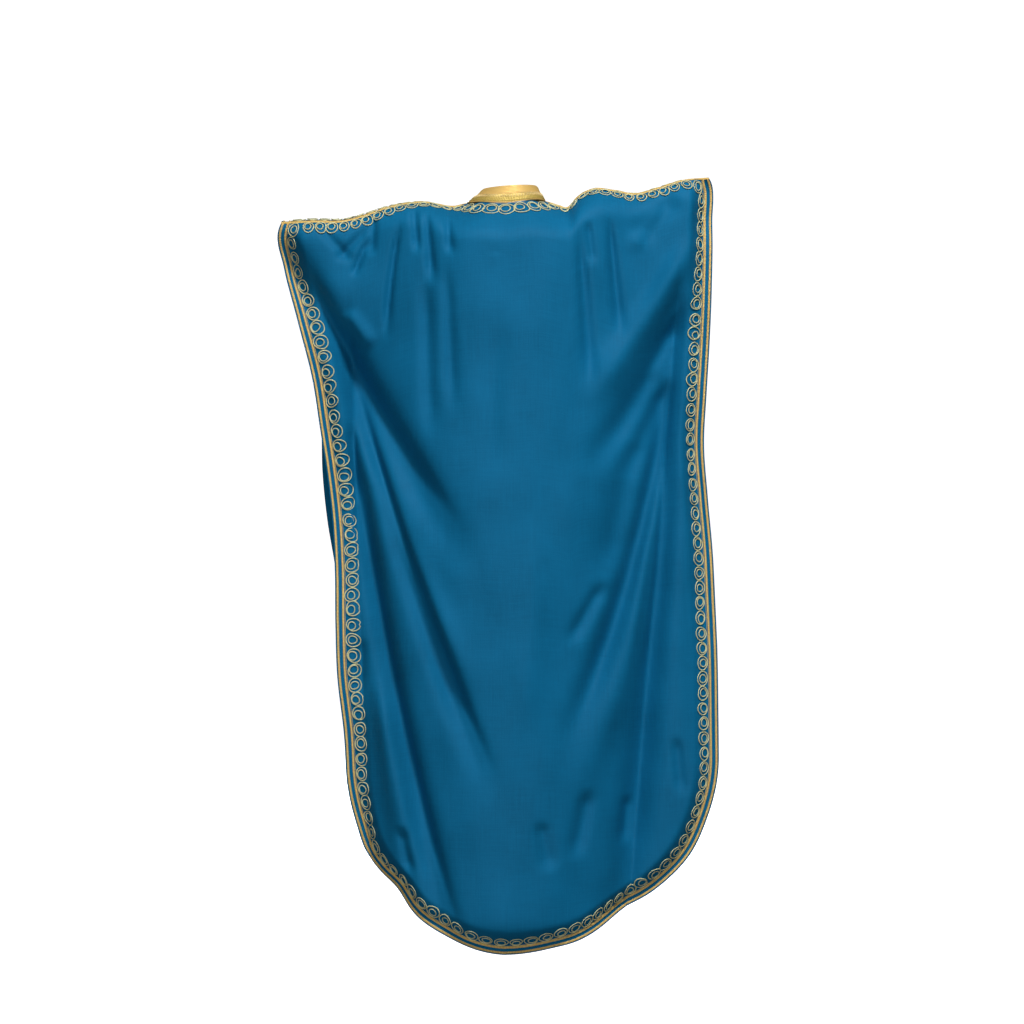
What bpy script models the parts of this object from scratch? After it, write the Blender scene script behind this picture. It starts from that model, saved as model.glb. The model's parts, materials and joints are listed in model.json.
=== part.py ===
"""A long butterfly kaftan with a gold stand collar, worn with both arms held out.

Metres, +Z up. The wearer faces -Y and has their left side at +X. The origin is the middle of the
neck opening, level with the shoulder line. Every panel is a sheet over the plane of x (across) and
t (the way down the cloth from the shoulder line), cut by the outline, bent into its worn form by
sheet_points and given its wall by Solidify.
"""

import math

import bpy
import numpy as np
from mathutils.geometry import delaunay_2d_cdt

# Cloth
WALL = 0.0012
GAP = 0.0003
LENGTH = 1.465
HEM_DROP = 1.396
ROUND_FROM = 1.110
ROUND_POWER = 1.94

# Gold braids, as distances in from a panel's edge
OUTER_BRAID = (0.0025, 0.0078)
INNER_BRAID = (0.0125, 0.0180)
SHOULDER_BRAID = 0.005
BRAID_WALL = 0.0010

# Neck and collar
NECK_SIDE = 0.074
NECK_BACK = 0.054
NECK_FRONT = 0.080
SLIT_LENGTH = 0.17
SLIT_HALF_TOP = 0.0030
SLIT_HALF_END = 0.0010
COLLAR_WALL = 0.0016
COLLAR_TOP_SIDE = 0.054
COLLAR_TOP_BACK = 0.048
COLLAR_TOP_FRONT = 0.060
COLLAR_TOP_SHIFT = -0.006
COLLAR_TOP_LEVEL = 0.6
COLLAR_BACK_HEIGHT = 0.0265
COLLAR_TILT = 0.07
COLLAR_FRONT_HEIGHT = 0.008
COLLAR_LIFT = 0.00064
COLLAR_LEAN = 0.8
COLLAR_OPENING = 0.06
COLLAR_ROWS = (0.0, 0.06, 0.28, 0.50, 0.75, 1.0)
COLLAR_BRAID_ROWS = COLLAR_ROWS[1:4]

# How far the cloth reaches back or forward from the crest, over an arm and over the body
ARM_REACH = 0.046
BACK_REACH = 0.112
FRONT_REACH = 0.100
BODY_FALL = 0.060
BODY_HALF = 0.19

# Where the side seams begin to draw the two panels together, and where they hold them
SEAM_FROM = 0.14
SEAM_HELD = 0.34
SEAM_ROUND = 1.8
WING_SPREAD = 0.035

# The shares of a fold's length over which it rises and dies away, and the room that it needs
FOLD_RISE = (-0.05, 0.25)
FOLD_END = (0.73, 1.08)
FOLD_ROOM = 0.03
FOLD_TOP = 0.08

# Mesh
STATION = 0.052
STATION_SAMPLES = 8
OUTLINE_SAMPLES = 400
NECK_STATIONS = 13
NECK_CLEAR = 0.002
COLLAR_STATIONS = 29
GRID_HALF = 0.46
GRID_X = 0.041
GRID_T = 0.050
GRID_FROM = 0.03
SEAM_CHAIN_FROM = 0.33
CLEAR = 0.021
SEAM_CLEAR = 0.012
CROSS_TOLERANCE = 1e-7
STEP = 1e-4

# Worn half-widths of the panels, by way down the cloth
EDGES = {
    "down": (0.00, 0.03, 0.10, 0.22, 0.34, 0.43, 0.52, 0.62,
             0.72, 0.82, 0.92, 1.05, 1.12, 1.465),
    "back_left": (0.420, 0.427, 0.417, 0.391, 0.363, 0.350, 0.337, 0.326,
                  0.321, 0.320, 0.317, 0.304, 0.301, 0.300),
    "front_left": (0.418, 0.424, 0.413, 0.388, 0.362, 0.351, 0.348, 0.338,
                   0.322, 0.314, 0.308, 0.297, 0.293, 0.290),
    "back_right": (0.368, 0.385, 0.387, 0.385, 0.381, 0.376, 0.372, 0.379,
                   0.388, 0.393, 0.397, 0.399, 0.400, 0.400),
    "front_right": (0.367, 0.382, 0.383, 0.380, 0.375, 0.370, 0.367, 0.373,
                    0.381, 0.386, 0.389, 0.391, 0.392, 0.390),
}

# Height of the shoulder line, from the wearer's right cuff to their left cuff
CREST = {
    "x": (-0.390, -0.330, -0.281, -0.240, -0.201, -0.160, -0.134, -0.116, -0.097, -0.066,
          0.000, 0.072, 0.096, 0.154, 0.225, 0.262, 0.300, 0.360, 0.430),
    "height": (0.047, 0.041, 0.026, 0.016, 0.022, 0.024, 0.010, -0.009, -0.005, 0.003,
               0.000, -0.002, -0.007, 0.000, -0.009, -0.021, -0.031, -0.032, -0.034),
}

# The worn form: bulge of each panel at the middle, half the space between the wings at their edges,
# and where the side seams lie
BODY = {
    "down": (0.00, 0.20, 0.36, 0.60, 0.90, 1.20, 1.465),
    "back": (0.112, 0.118, 0.112, 0.114, 0.108, 0.104, 0.100),
    "front": (0.100, 0.122, 0.132, 0.118, 0.110, 0.106, 0.103),
    "wing": (0.046, 0.044, 0.032, 0.026, 0.022, 0.018, 0.014),
    "seam_left": (0.300, 0.295, 0.288, 0.282, 0.271, 0.258, 0.240),
    "seam_right": (0.330, 0.322, 0.312, 0.294, 0.269, 0.246, 0.225),
}

# Folds: from (x, drop) to (x, drop), the sideways bow of the line between, half-widths at its two
# ends, and height out from the body (negative for a trough)
FOLD_COLUMNS = ("x0", "drop0", "x1", "drop1", "bow", "width0", "width1", "height")
BACK_FOLDS = (
    (0.400, 0.085, 0.083, 0.655, -0.010, 0.025, 0.036, -0.022),
    (0.290, 0.400, 0.060, 0.900, -0.010, 0.012, 0.034, 0.008),
    (0.292, 0.330, 0.034, 1.070, -0.012, 0.016, 0.023, -0.017),
    (0.290, 0.420, 0.097, 1.385, -0.016, 0.016, 0.026, -0.018),
    (0.240, 0.900, 0.175, 1.240, 0.000, 0.022, 0.028, 0.008),
    (-0.345, 0.070, -0.154, 0.365, 0.009, 0.020, 0.034, 0.013),
    (-0.340, 0.185, -0.158, 0.490, 0.010, 0.018, 0.030, -0.014),
    (-0.305, 0.325, -0.117, 0.990, 0.026, 0.015, 0.023, -0.018),
    (-0.291, 0.440, -0.140, 1.080, 0.034, 0.018, 0.028, 0.007),
    (-0.306, 0.420, -0.209, 1.330, 0.012, 0.015, 0.030, -0.013),
)
FRONT_FOLDS = (
    (-0.300, 0.300, -0.100, 0.650, 0.010, 0.022, 0.036, -0.018),
    (-0.290, 0.350, -0.050, 1.020, 0.012, 0.018, 0.026, -0.015),
    (-0.280, 0.450, -0.110, 1.330, 0.016, 0.018, 0.028, -0.014),
    (0.300, 0.300, 0.130, 0.640, -0.008, 0.020, 0.034, -0.016),
    (0.280, 0.400, 0.080, 1.100, -0.014, 0.018, 0.026, -0.015),
    (0.270, 0.500, 0.160, 1.300, -0.010, 0.020, 0.030, -0.013),
)
# Folds that both layers of a wing share, with height towards the back
WING_FOLDS = (
    (-0.352, 0.360, -0.360, 1.100, 0.000, 0.024, 0.026, -0.014),
    (0.318, 0.360, 0.296, 1.100, 0.000, 0.024, 0.026, 0.008),
)

# How much more steeply than a quarter of an ellipse the back falls away from the shoulder line
SHOULDER = {
    "x": (-0.400, -0.300, -0.220, -0.160, -0.125, -0.080, 0.000, 0.080, 0.120, 0.170, 0.300, 0.430),
    "steep": (0.000, 0.004, 0.012, 0.018, 0.018, 0.024, 0.030, 0.024, 0.014, 0.006, 0.002, 0.000),
}
STEEP_OVER = 0.050

# Base colour, roughness and metallic value
TEAL = ((0.004, 0.135, 0.285, 1.0), 0.62, 0.0)
BRAID_GOLD = ((0.700, 0.450, 0.120, 1.0), 0.38, 0.55)
BROCADE_GOLD = ((0.760, 0.460, 0.110, 1.0), 0.34, 0.45)


def read(table, column, at, key="down"):
    """A column of a table at any place, by cubic Hermite curves through its rows."""
    knots = np.array(table[key])
    values = np.array(table[column])
    at = np.clip(at, knots[0], knots[-1])
    slopes = np.gradient(values, knots)
    i = np.clip(np.searchsorted(knots, at, side="right") - 1, 0, len(knots) - 2)
    span = knots[i + 1] - knots[i]
    f = (at - knots[i]) / span
    start = values[i] * (1 + 2 * f) * (1 - f) ** 2 + slopes[i] * span * f * (1 - f) ** 2
    end = values[i + 1] * f * f * (3 - 2 * f) + slopes[i + 1] * span * f * f * (f - 1)
    return start + end


def ramp(at, start, end):
    """0 before start, 1 after end and a smooth rise between them."""
    f = np.clip((at - start) / (end - start), 0, 1)
    return f * f * (3 - 2 * f)


def edge_of(name, down, left):
    """Worn half-width of a panel's side before its bottom is rounded."""
    return read(EDGES, f"{name}_{'left' if left else 'right'}", down)


def seam_of(down, left):
    """Distance of a side seam from the middle."""
    return read(BODY, "seam_left" if left else "seam_right", down)


def folds_at(rows, x, drop):
    """Sum of the folds: each is a rounded ridge along its line, eased in and out at the ends."""
    total = np.zeros_like(x)
    for row in rows:
        fold = dict(zip(FOLD_COLUMNS, row))
        run = np.array([fold["x1"] - fold["x0"], fold["drop1"] - fold["drop0"]])
        length = math.hypot(*run)
        along = ((x - fold["x0"]) * run[0] + (drop - fold["drop0"]) * run[1]) / length**2
        off = ((drop - fold["drop0"]) * run[0] - (x - fold["x0"]) * run[1]) / length
        part = np.clip(along, 0, 1)
        off = off - fold["bow"] * 4 * part * (1 - part)
        width = fold["width0"] + (fold["width1"] - fold["width0"]) * part
        taper = ramp(along, *FOLD_RISE) * (1 - ramp(along, *FOLD_END))
        total += fold["height"] * taper * np.exp(-((off / width) ** 2))
    return total


def neck_top(name, x):
    """The way down the cloth at which a panel begins: the neckline's ellipse, or the shoulder."""
    depth, reach = (NECK_BACK, BACK_REACH) if name == "back" else (NECK_FRONT, FRONT_REACH)
    inside = np.sqrt(np.clip(1 - (x / NECK_SIDE) ** 2, 0, 1))
    return (BACK_REACH + BODY_FALL) / 2 * np.arcsin(depth * inside / reach)


def sheet_points(name, x, t):
    """Worn place of the points (x, t) of the back or front panel's middle surface."""
    x, t = np.broadcast_arrays(np.asarray(x, float), np.asarray(t, float))
    back = name == "back"
    bodily = np.exp(-((np.abs(x) / BODY_HALF) ** 3))
    reach_back = ARM_REACH + (BACK_REACH - ARM_REACH) * bodily
    reach_front = ARM_REACH + (FRONT_REACH - ARM_REACH) * bodily
    fall = ARM_REACH + (BODY_FALL - ARM_REACH) * bodily
    bend = (reach_back + fall) / 2
    turn = np.minimum(t / bend, math.pi / 2)
    hang = np.maximum(t - bend * math.pi / 2, 0)
    stretch = (HEM_DROP - fall) / (LENGTH - bend * math.pi / 2)
    drop = fall * (1 - np.cos(turn)) + hang * stretch
    if back:
        steep = read(SHOULDER, "steep", x, "x") * ramp(t - neck_top(name, x), 0, STEEP_OVER)
        drop = drop + steep * (1 - t / LENGTH)
    z = read(CREST, "height", x, "x") * (1 - t / LENGTH) - drop

    seam = np.where(x > 0, seam_of(t, True), seam_of(t, False))
    inside = np.clip(1 - (np.abs(x) / seam) ** SEAM_ROUND, 0, 1)
    outside = 1 - np.exp(-np.maximum(np.abs(x) - seam, 0) / WING_SPREAD)
    held = read(BODY, name, t) * inside + read(BODY, "wing", t) * outside
    free = (reach_back if back else reach_front) * np.sin(turn)
    pinch = ramp(t, SEAM_FROM, SEAM_HELD)
    own = BACK_FOLDS if back else FRONT_FOLDS
    away = free * (1 - pinch) + held * pinch
    away = away + folds_at(own, x, -z) * ramp(away, 0, FOLD_ROOM) * ramp(t, 0, FOLD_TOP)
    away = away + GAP / 2 + WALL / 2 * np.sin(turn)
    y = folds_at(WING_FOLDS, x, -z) + (away if back else -away)
    return np.stack([x, y, z], axis=-1)


def outline(name):
    """Dense points (x, t) of a panel's sides and rounded bottom, from left shoulder to right."""
    corner = np.linspace(0, math.pi / 2, OUTLINE_SAMPLES)
    across = np.cos(corner) ** (2 / ROUND_POWER)
    down = ROUND_FROM + (LENGTH - ROUND_FROM) * np.sin(corner) ** (2 / ROUND_POWER)
    t = np.concatenate([np.linspace(0, ROUND_FROM, OUTLINE_SAMPLES)[:-1], down])
    part = np.concatenate([np.ones(OUTLINE_SAMPLES - 1), across])
    left = np.stack([edge_of(name, t, True) * part, t], axis=-1)
    right = np.stack([-edge_of(name, t, False) * part, t], axis=-1)
    return np.concatenate([left, right[-2::-1]])


def border_stations(name):
    """Places along the outline, a station apart; the first two at each end are the shoulder strip's."""
    line = outline(name)
    run = np.concatenate([[0], np.cumsum(np.linalg.norm(np.diff(line, axis=0), axis=1))])
    count = round((run[-1] - 2 * SHOULDER_BRAID) / STATION)
    at = np.linspace(SHOULDER_BRAID, run[-1] - SHOULDER_BRAID, count + 1)
    at = np.concatenate([[0], at, [run[-1]]])
    return np.stack([np.interp(at, run, line[:, i]) for i in (0, 1)], axis=-1)


def border_offset(name, stations, inward):
    """The stations moved in over the worn cloth by a true distance."""
    x, t = stations.T
    across = (sheet_points(name, x + STEP, t) - sheet_points(name, x - STEP, t)) / (2 * STEP)
    low = np.maximum(t - STEP, 0)
    down = (sheet_points(name, x, t + STEP) - sheet_points(name, x, low)) / (t + STEP - low)[:, None]
    run = np.gradient(stations, axis=0)
    along = across * run[:, :1] + down * run[:, 1:]
    along /= np.linalg.norm(along, axis=1)[:, None]
    aim = across * -run[:, 1:] + down * run[:, :1]
    aim *= -np.sign(x * -run[:, 1] + (t - ROUND_FROM / 2) * run[:, 0])[:, None]
    aim -= along * np.sum(aim * along, axis=1)[:, None]
    aim *= inward / np.linalg.norm(aim, axis=1)[:, None]
    basis = np.stack([across, down], axis=-1)
    moved = stations + np.stack([np.linalg.lstsq(b, a, rcond=None)[0] for b, a in zip(basis, aim)])
    for i in (0, 1, -2, -1):
        moved[i] = (x[i] - math.copysign(inward / np.linalg.norm(across[i]), x[i]), t[i])
    return moved


def neck_points(name):
    """The neckline in (x, t), from the left side of the neck round to its right."""
    depth, reach = (NECK_BACK, BACK_REACH) if name == "back" else (NECK_FRONT, FRONT_REACH)
    corner = np.linspace(0, math.pi, NECK_STATIONS)
    bend = (BACK_REACH + BODY_FALL) / 2
    x = NECK_SIDE * np.cos(corner)
    t = bend * np.arcsin(depth * np.sin(corner) / reach)
    if name == "back":
        return np.stack([x, t], axis=-1)
    half = len(x) // 2
    end = t[half] + SLIT_LENGTH
    slit_x = np.array([SLIT_HALF_TOP, SLIT_HALF_TOP, SLIT_HALF_END])
    slit_x = np.concatenate([slit_x, -slit_x[::-1]])
    slit_t = [t[half], t[half] + SLIT_LENGTH / 2, end, end, t[half] + SLIT_LENGTH / 2, t[half]]
    x = np.concatenate([x[:half], slit_x, x[half + 1:]])
    t = np.concatenate([t[:half], slit_t, t[half + 1:]])
    return np.stack([x, t], axis=-1)


def within(points, loop):
    """Which points lie inside a closed loop, by counting crossings."""
    x, y = points[:, :1], points[:, 1:]
    x0, y0 = loop.T
    x1, y1 = np.roll(loop, -1, axis=0).T
    spans = (y0 > y) != (y1 > y)
    with np.errstate(divide="ignore", invalid="ignore"):
        hits = x < (x1 - x0) * (y - y0) / (y1 - y0) + x0
    return (spans & hits).sum(axis=1) % 2 == 1


def link(collection, name, points, faces, material, wall):
    """A sheet of faces as an object, with its wall to both sides of them."""
    mesh = bpy.data.meshes.new(name)
    mesh.from_pydata([tuple(p) for p in points], [], [tuple(map(int, f)) for f in faces])
    mesh.validate()
    mesh.shade_smooth()
    mesh.materials.append(material)
    obj = bpy.data.objects.new(name, mesh)
    collection.objects.link(obj)
    solid = obj.modifiers.new("wall", "SOLIDIFY")
    solid.thickness = wall
    solid.offset = 0
    return obj


def panel(collection, name, material):
    """One panel and what its braids need: its faces in each strip and its points."""
    stations = border_stations(name)
    offsets = (0.0, *OUTER_BRAID, *INNER_BRAID)
    rings = [stations if not d else border_offset(name, stations, d) for d in offsets]
    n = len(stations)
    points, edges = [], []

    def chain(new):
        first = len(points)
        points.extend(map(tuple, new))
        edges.extend((i, i + 1) for i in range(first, len(points) - 1))
        return list(range(first, len(points)))

    ring_ids = [chain(ring) for ring in rings]
    neck = chain(neck_points(name))
    shoulder = {}
    for sign, end in ((1, 0), (-1, -1)):
        inner = ring_ids[-1]
        reach = abs(points[inner[end]][0]) - NECK_SIDE
        steps = np.linspace(0, 1, round(reach / STATION) + 1)
        x = sign * (abs(points[inner[end]][0]) - steps * (reach - NECK_CLEAR))
        top = chain(np.stack([x[1:], np.zeros(len(x) - 1)], axis=-1))
        low = chain(np.stack([x[1:], np.full(len(x) - 1, SHOULDER_BRAID)], axis=-1))
        inset = 1 if end == 0 else n - 2
        edge_ids = [ids[end] for ids in ring_ids]
        low_ids = [ids[inset] for ids in ring_ids]
        edges.extend(zip(edge_ids, [*edge_ids[1:], top[0]]))
        edges.extend(zip(low_ids, [*low_ids[1:], low[0]]))
        edges.append((top[-1], neck[0] if sign > 0 else neck[-1]))
        shoulder[sign] = ([*edge_ids, *top], [*low_ids, *low])

    part_way = np.linspace(0, n - 1, STATION_SAMPLES * n)
    inner_edge = np.stack([np.interp(part_way, np.arange(n), rings[-1][:, i]) for i in (0, 1)], axis=-1)
    for left in (True, False):
        t = np.arange(SEAM_CHAIN_FROM, LENGTH, GRID_T)
        x = seam_of(t, left) * (1 if left else -1)
        seam = np.stack([x, t], axis=-1)
        space = np.linalg.norm(seam[:, None] - inner_edge[None], axis=-1).min(axis=1)
        clear = (space > SEAM_CLEAR) & within(seam, inner_edge)
        chain(seam[: int(np.argmin(clear))])

    left_top, right_top = (np.array(points)[shoulder[sign][0]][len(offsets):] for sign in (1, -1))
    loop = np.concatenate([stations, right_top, neck_points(name)[::-1], left_top[::-1]])
    rows = []
    for k, t in enumerate(np.arange(GRID_FROM, LENGTH, GRID_T)):
        x = np.arange(-GRID_HALF, GRID_HALF, GRID_X) + (k % 2) * GRID_X / 2
        rows.append(np.stack([x, np.full(len(x), t)], axis=-1))
    grid = np.concatenate(rows)
    grid = grid[within(grid, loop)]
    guides = np.array(points)
    guides = np.concatenate([guides, guides[np.array(edges)].mean(axis=1)])
    space = np.linalg.norm(grid[:, None] - guides[None], axis=-1).min(axis=1)
    points.extend(map(tuple, grid[space > CLEAR]))

    flat, _, faces, *_ = delaunay_2d_cdt(points, edges, [], 0, CROSS_TOLERANCE)
    if len(flat) != len(points):
        raise ValueError(f"{name}: the guide lines cross")
    flat = np.array([tuple(p) for p in flat])
    faces = np.array([tuple(f) for f in faces])
    faces = faces[within(flat[faces].mean(axis=1), loop)]
    worn = sheet_points(name, *flat.T)
    if name == "front":
        faces = faces[:, ::-1]
    obj = link(collection, f"{name}_panel", worn, faces, material, WALL)
    normals = np.array([v.normal[:] for v in obj.data.vertices])
    return {"points": worn, "normals": normals, "faces": faces, "rings": ring_ids, "shoulder": shoulder}


def strip_faces(sheet, ids):
    """The panel's own faces whose corners are all in ids."""
    return sheet["faces"][np.isin(sheet["faces"], ids).all(axis=1)]


def braid(collection, name, sheet, strips, material):
    """A braid on a panel: the panel's points in its strip, moved out past the wall and the gap."""
    faces = strip_faces(sheet, strips)
    used, index = np.unique(faces, return_inverse=True)
    lift = WALL / 2 + GAP + BRAID_WALL / 2
    points = sheet["points"][used] + sheet["normals"][used] * lift
    link(collection, name, points, index.reshape(-1, 3), material, BRAID_WALL)


def shoulder_braid(collection, name, sheets, sign, material):
    """The braid over a shoulder seam: both panels' top strips, joined along the shoulder line."""
    lift = WALL / 2 + GAP + BRAID_WALL / 2
    top, low = {}, {}
    for key, sheet in sheets.items():
        high_ids, low_ids = (ids[len(sheet["rings"]):] for ids in sheet["shoulder"][sign])
        top[key] = sheet["points"][high_ids]
        low[key] = sheet["points"][low_ids] + sheet["normals"][low_ids] * lift
    middle = (top["back"] + top["front"]) / 2 + (0, 0, lift)
    count = len(middle)
    points = np.concatenate([low["back"], middle, low["front"]])
    i = np.arange(count - 1)
    quads = np.stack([i, i + 1, i + 1 + count, i + count], axis=-1)
    quads = np.concatenate([quads, quads + count])
    if sign > 0:
        quads = quads[:, ::-1]
    link(collection, name, points, quads, material, BRAID_WALL)


def collar_points(around, up):
    """Place on the collar: around from the front edge at one side to the other, up from 0 to 1."""
    side, deep = np.sin(around), -np.cos(around)
    base_y = np.where(deep > 0, NECK_BACK, NECK_FRONT) * deep
    reach = np.where(deep > 0, BACK_REACH, FRONT_REACH)
    fall = BODY_FALL * (1 - np.sqrt(1 - (base_y / reach) ** 2))
    base_x = NECK_SIDE * side
    base_z = read(CREST, "height", base_x, "x") - fall + WALL / 2 + GAP + COLLAR_LIFT
    top_x = COLLAR_TOP_SIDE * side + COLLAR_TOP_SHIFT
    top_y = np.where(deep > 0, COLLAR_TOP_BACK, COLLAR_TOP_FRONT) * deep
    taller = COLLAR_BACK_HEIGHT - COLLAR_FRONT_HEIGHT
    top_z = COLLAR_FRONT_HEIGHT + taller * ramp(deep, -1, COLLAR_TOP_LEVEL)
    top_z = top_z - COLLAR_TILT * top_x
    lean = up**COLLAR_LEAN
    x = base_x + (top_x - base_x) * lean
    y = base_y + (top_y - base_y) * lean
    return np.stack([x, y, base_z + (top_z - base_z) * up], axis=-1)


def collar(collection, name, rows, out, wall, material):
    """A band round the neck, open at the front, stood off the collar's middle surface by out."""
    around = np.linspace(COLLAR_OPENING, 2 * math.pi - COLLAR_OPENING, COLLAR_STATIONS)
    around, up = np.meshgrid(around, rows)
    points = collar_points(around, up)
    across = collar_points(around + STEP, up) - collar_points(around - STEP, up)
    rise = collar_points(around, up + STEP) - collar_points(around, np.maximum(up - STEP, 0))
    normal = np.cross(across, rise)
    points = points + out * normal / np.linalg.norm(normal, axis=-1)[..., None]
    columns = around.shape[1]
    i, j = np.meshgrid(np.arange(len(rows) - 1), np.arange(columns - 1), indexing="ij")
    a = (i * columns + j).ravel()
    quads = np.stack([a, a + 1, a + 1 + columns, a + columns], axis=-1)
    link(collection, name, points.reshape(-1, 3), quads, material, wall)


def material(name, look):
    """A Principled material of one colour, roughness and metallic value."""
    made = bpy.data.materials.new(name)
    made.use_nodes = True
    shader = made.node_tree.nodes["Principled BSDF"]
    colour, roughness, metallic = look
    shader.inputs["Base Color"].default_value = colour
    shader.inputs["Roughness"].default_value = roughness
    shader.inputs["Metallic"].default_value = metallic
    made.diffuse_color = colour
    return made


def main():
    """Clears the scene and makes the kaftan."""
    for obj in list(bpy.data.objects):
        bpy.data.objects.remove(obj, do_unlink=True)
    collection = bpy.data.collections.new("kaftan")
    bpy.context.scene.collection.children.link(collection)
    teal = material("teal_crepe", TEAL)
    gold = material("gold_braid", BRAID_GOLD)
    brocade = material("gold_brocade", BROCADE_GOLD)
    sheets = {name: panel(collection, name, teal) for name in ("back", "front")}
    for name, sheet in sheets.items():
        rings = sheet["rings"]
        braid(collection, f"{name}_braid_outer", sheet, rings[1] + rings[2], gold)
        braid(collection, f"{name}_braid_inner", sheet, rings[3] + rings[4], gold)
    shoulder_braid(collection, "shoulder_braid_left", sheets, 1, gold)
    shoulder_braid(collection, "shoulder_braid_right", sheets, -1, gold)
    collar(collection, "collar", COLLAR_ROWS, 0.0, COLLAR_WALL, brocade)
    out = COLLAR_WALL / 2 + GAP + BRAID_WALL / 2
    collar(collection, "collar_braid", COLLAR_BRAID_ROWS, out, BRAID_WALL, gold)


main()
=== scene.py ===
"""Finishes a long butterfly kaftan: creased crepe panels, corded and ringed edges, a brocade collar.

Metres, +Z up, the wearer's front towards -Y and their left side at +X. A place on a panel is (x, t):
x across the worn panel and t the way down the cloth from the shoulder line. A place in a panel's trim
is (run, inset): run along its edge and inset in from it, both measured over the cloth.
"""

import json
import math

import bpy
import numpy as np
from bpy.props import FloatProperty, FloatVectorProperty, IntProperty, PointerProperty
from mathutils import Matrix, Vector

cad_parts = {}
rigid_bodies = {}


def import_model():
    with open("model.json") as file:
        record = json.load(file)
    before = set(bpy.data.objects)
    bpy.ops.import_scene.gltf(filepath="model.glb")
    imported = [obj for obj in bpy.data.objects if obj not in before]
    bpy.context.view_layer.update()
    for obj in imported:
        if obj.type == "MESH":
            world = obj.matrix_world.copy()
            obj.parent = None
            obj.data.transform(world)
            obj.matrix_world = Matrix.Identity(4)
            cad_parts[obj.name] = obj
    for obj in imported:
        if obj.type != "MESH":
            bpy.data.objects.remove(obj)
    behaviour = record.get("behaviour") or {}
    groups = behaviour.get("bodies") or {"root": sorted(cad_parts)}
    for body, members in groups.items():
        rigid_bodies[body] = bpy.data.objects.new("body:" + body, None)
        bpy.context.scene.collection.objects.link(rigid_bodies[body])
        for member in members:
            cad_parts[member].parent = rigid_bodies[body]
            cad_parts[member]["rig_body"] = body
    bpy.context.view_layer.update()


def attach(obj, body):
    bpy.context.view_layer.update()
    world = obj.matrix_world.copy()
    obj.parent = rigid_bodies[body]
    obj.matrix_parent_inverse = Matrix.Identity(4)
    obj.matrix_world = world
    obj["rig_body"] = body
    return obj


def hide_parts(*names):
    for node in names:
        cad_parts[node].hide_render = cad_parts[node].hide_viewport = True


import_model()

bl_info = {
    "name": "Kaftan Finisher",
    "version": (1, 0, 0),
    "blender": (4, 5, 0),
    "location": "3D View > Sidebar > Kaftan",
    "description": "Creased crepe, couched cord and ring embroidery for a butterfly kaftan",
    "category": "Add Mesh",
}

# The cut and the worn form: those of the solids, but for a squarer corner at the right cuff
SOLID_WALL = 0.0012
GAP = 0.0003
LENGTH = 1.465
HEM_DROP = 1.396
ROUND_FROM = 1.110
ROUND_POWER = 1.94
NECK_SIDE = 0.074
NECK_BELL = 0.066
NECK_DEPTH = {"back": 0.054, "front": 0.080}
SLIT_LENGTH = 0.17
SLIT_HALF = 0.0030
ARM_REACH = 0.046
BODY_REACH = {"back": 0.112, "front": 0.100}
BODY_FALL = 0.060
BODY_HALF = 0.19
SEAM_FROM = 0.14
SEAM_HELD = 0.34
SEAM_ROUND = 1.8
WING_SPREAD = 0.035
OUTWARD = {"back": 1.0, "front": -1.0}

EDGES = {
    "down": (0.00, 0.03, 0.10, 0.22, 0.34, 0.43, 0.52, 0.62,
             0.72, 0.82, 0.92, 1.05, 1.12, 1.465),
    "back_left": (0.420, 0.427, 0.417, 0.391, 0.363, 0.350, 0.337, 0.326,
                  0.321, 0.320, 0.317, 0.304, 0.301, 0.300),
    "front_left": (0.418, 0.424, 0.413, 0.388, 0.362, 0.351, 0.348, 0.338,
                   0.322, 0.314, 0.308, 0.297, 0.293, 0.290),
    "back_right": (0.380, 0.387, 0.387, 0.385, 0.381, 0.376, 0.372, 0.379,
                   0.388, 0.393, 0.397, 0.399, 0.400, 0.400),
    "front_right": (0.379, 0.384, 0.383, 0.380, 0.375, 0.370, 0.367, 0.373,
                    0.381, 0.386, 0.389, 0.391, 0.392, 0.390),
}
CREST = {
    "x": (-0.390, -0.330, -0.281, -0.240, -0.201, -0.160, -0.134, -0.116, -0.097, -0.066,
          0.000, 0.072, 0.096, 0.154, 0.225, 0.262, 0.300, 0.360, 0.430),
    "height": (0.047, 0.041, 0.026, 0.016, 0.022, 0.024, 0.010, -0.009, -0.005, 0.003,
               0.000, -0.002, -0.007, 0.000, -0.009, -0.021, -0.031, -0.032, -0.034),
}
BODY = {
    "down": (0.00, 0.20, 0.36, 0.60, 0.90, 1.20, 1.465),
    "back": (0.112, 0.118, 0.112, 0.114, 0.108, 0.104, 0.100),
    "front": (0.100, 0.122, 0.132, 0.118, 0.110, 0.106, 0.103),
    "wing": (0.046, 0.044, 0.032, 0.026, 0.022, 0.018, 0.014),
    "seam_left": (0.300, 0.295, 0.288, 0.282, 0.271, 0.258, 0.240),
    "seam_right": (0.330, 0.322, 0.312, 0.294, 0.269, 0.246, 0.225),
}

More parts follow.
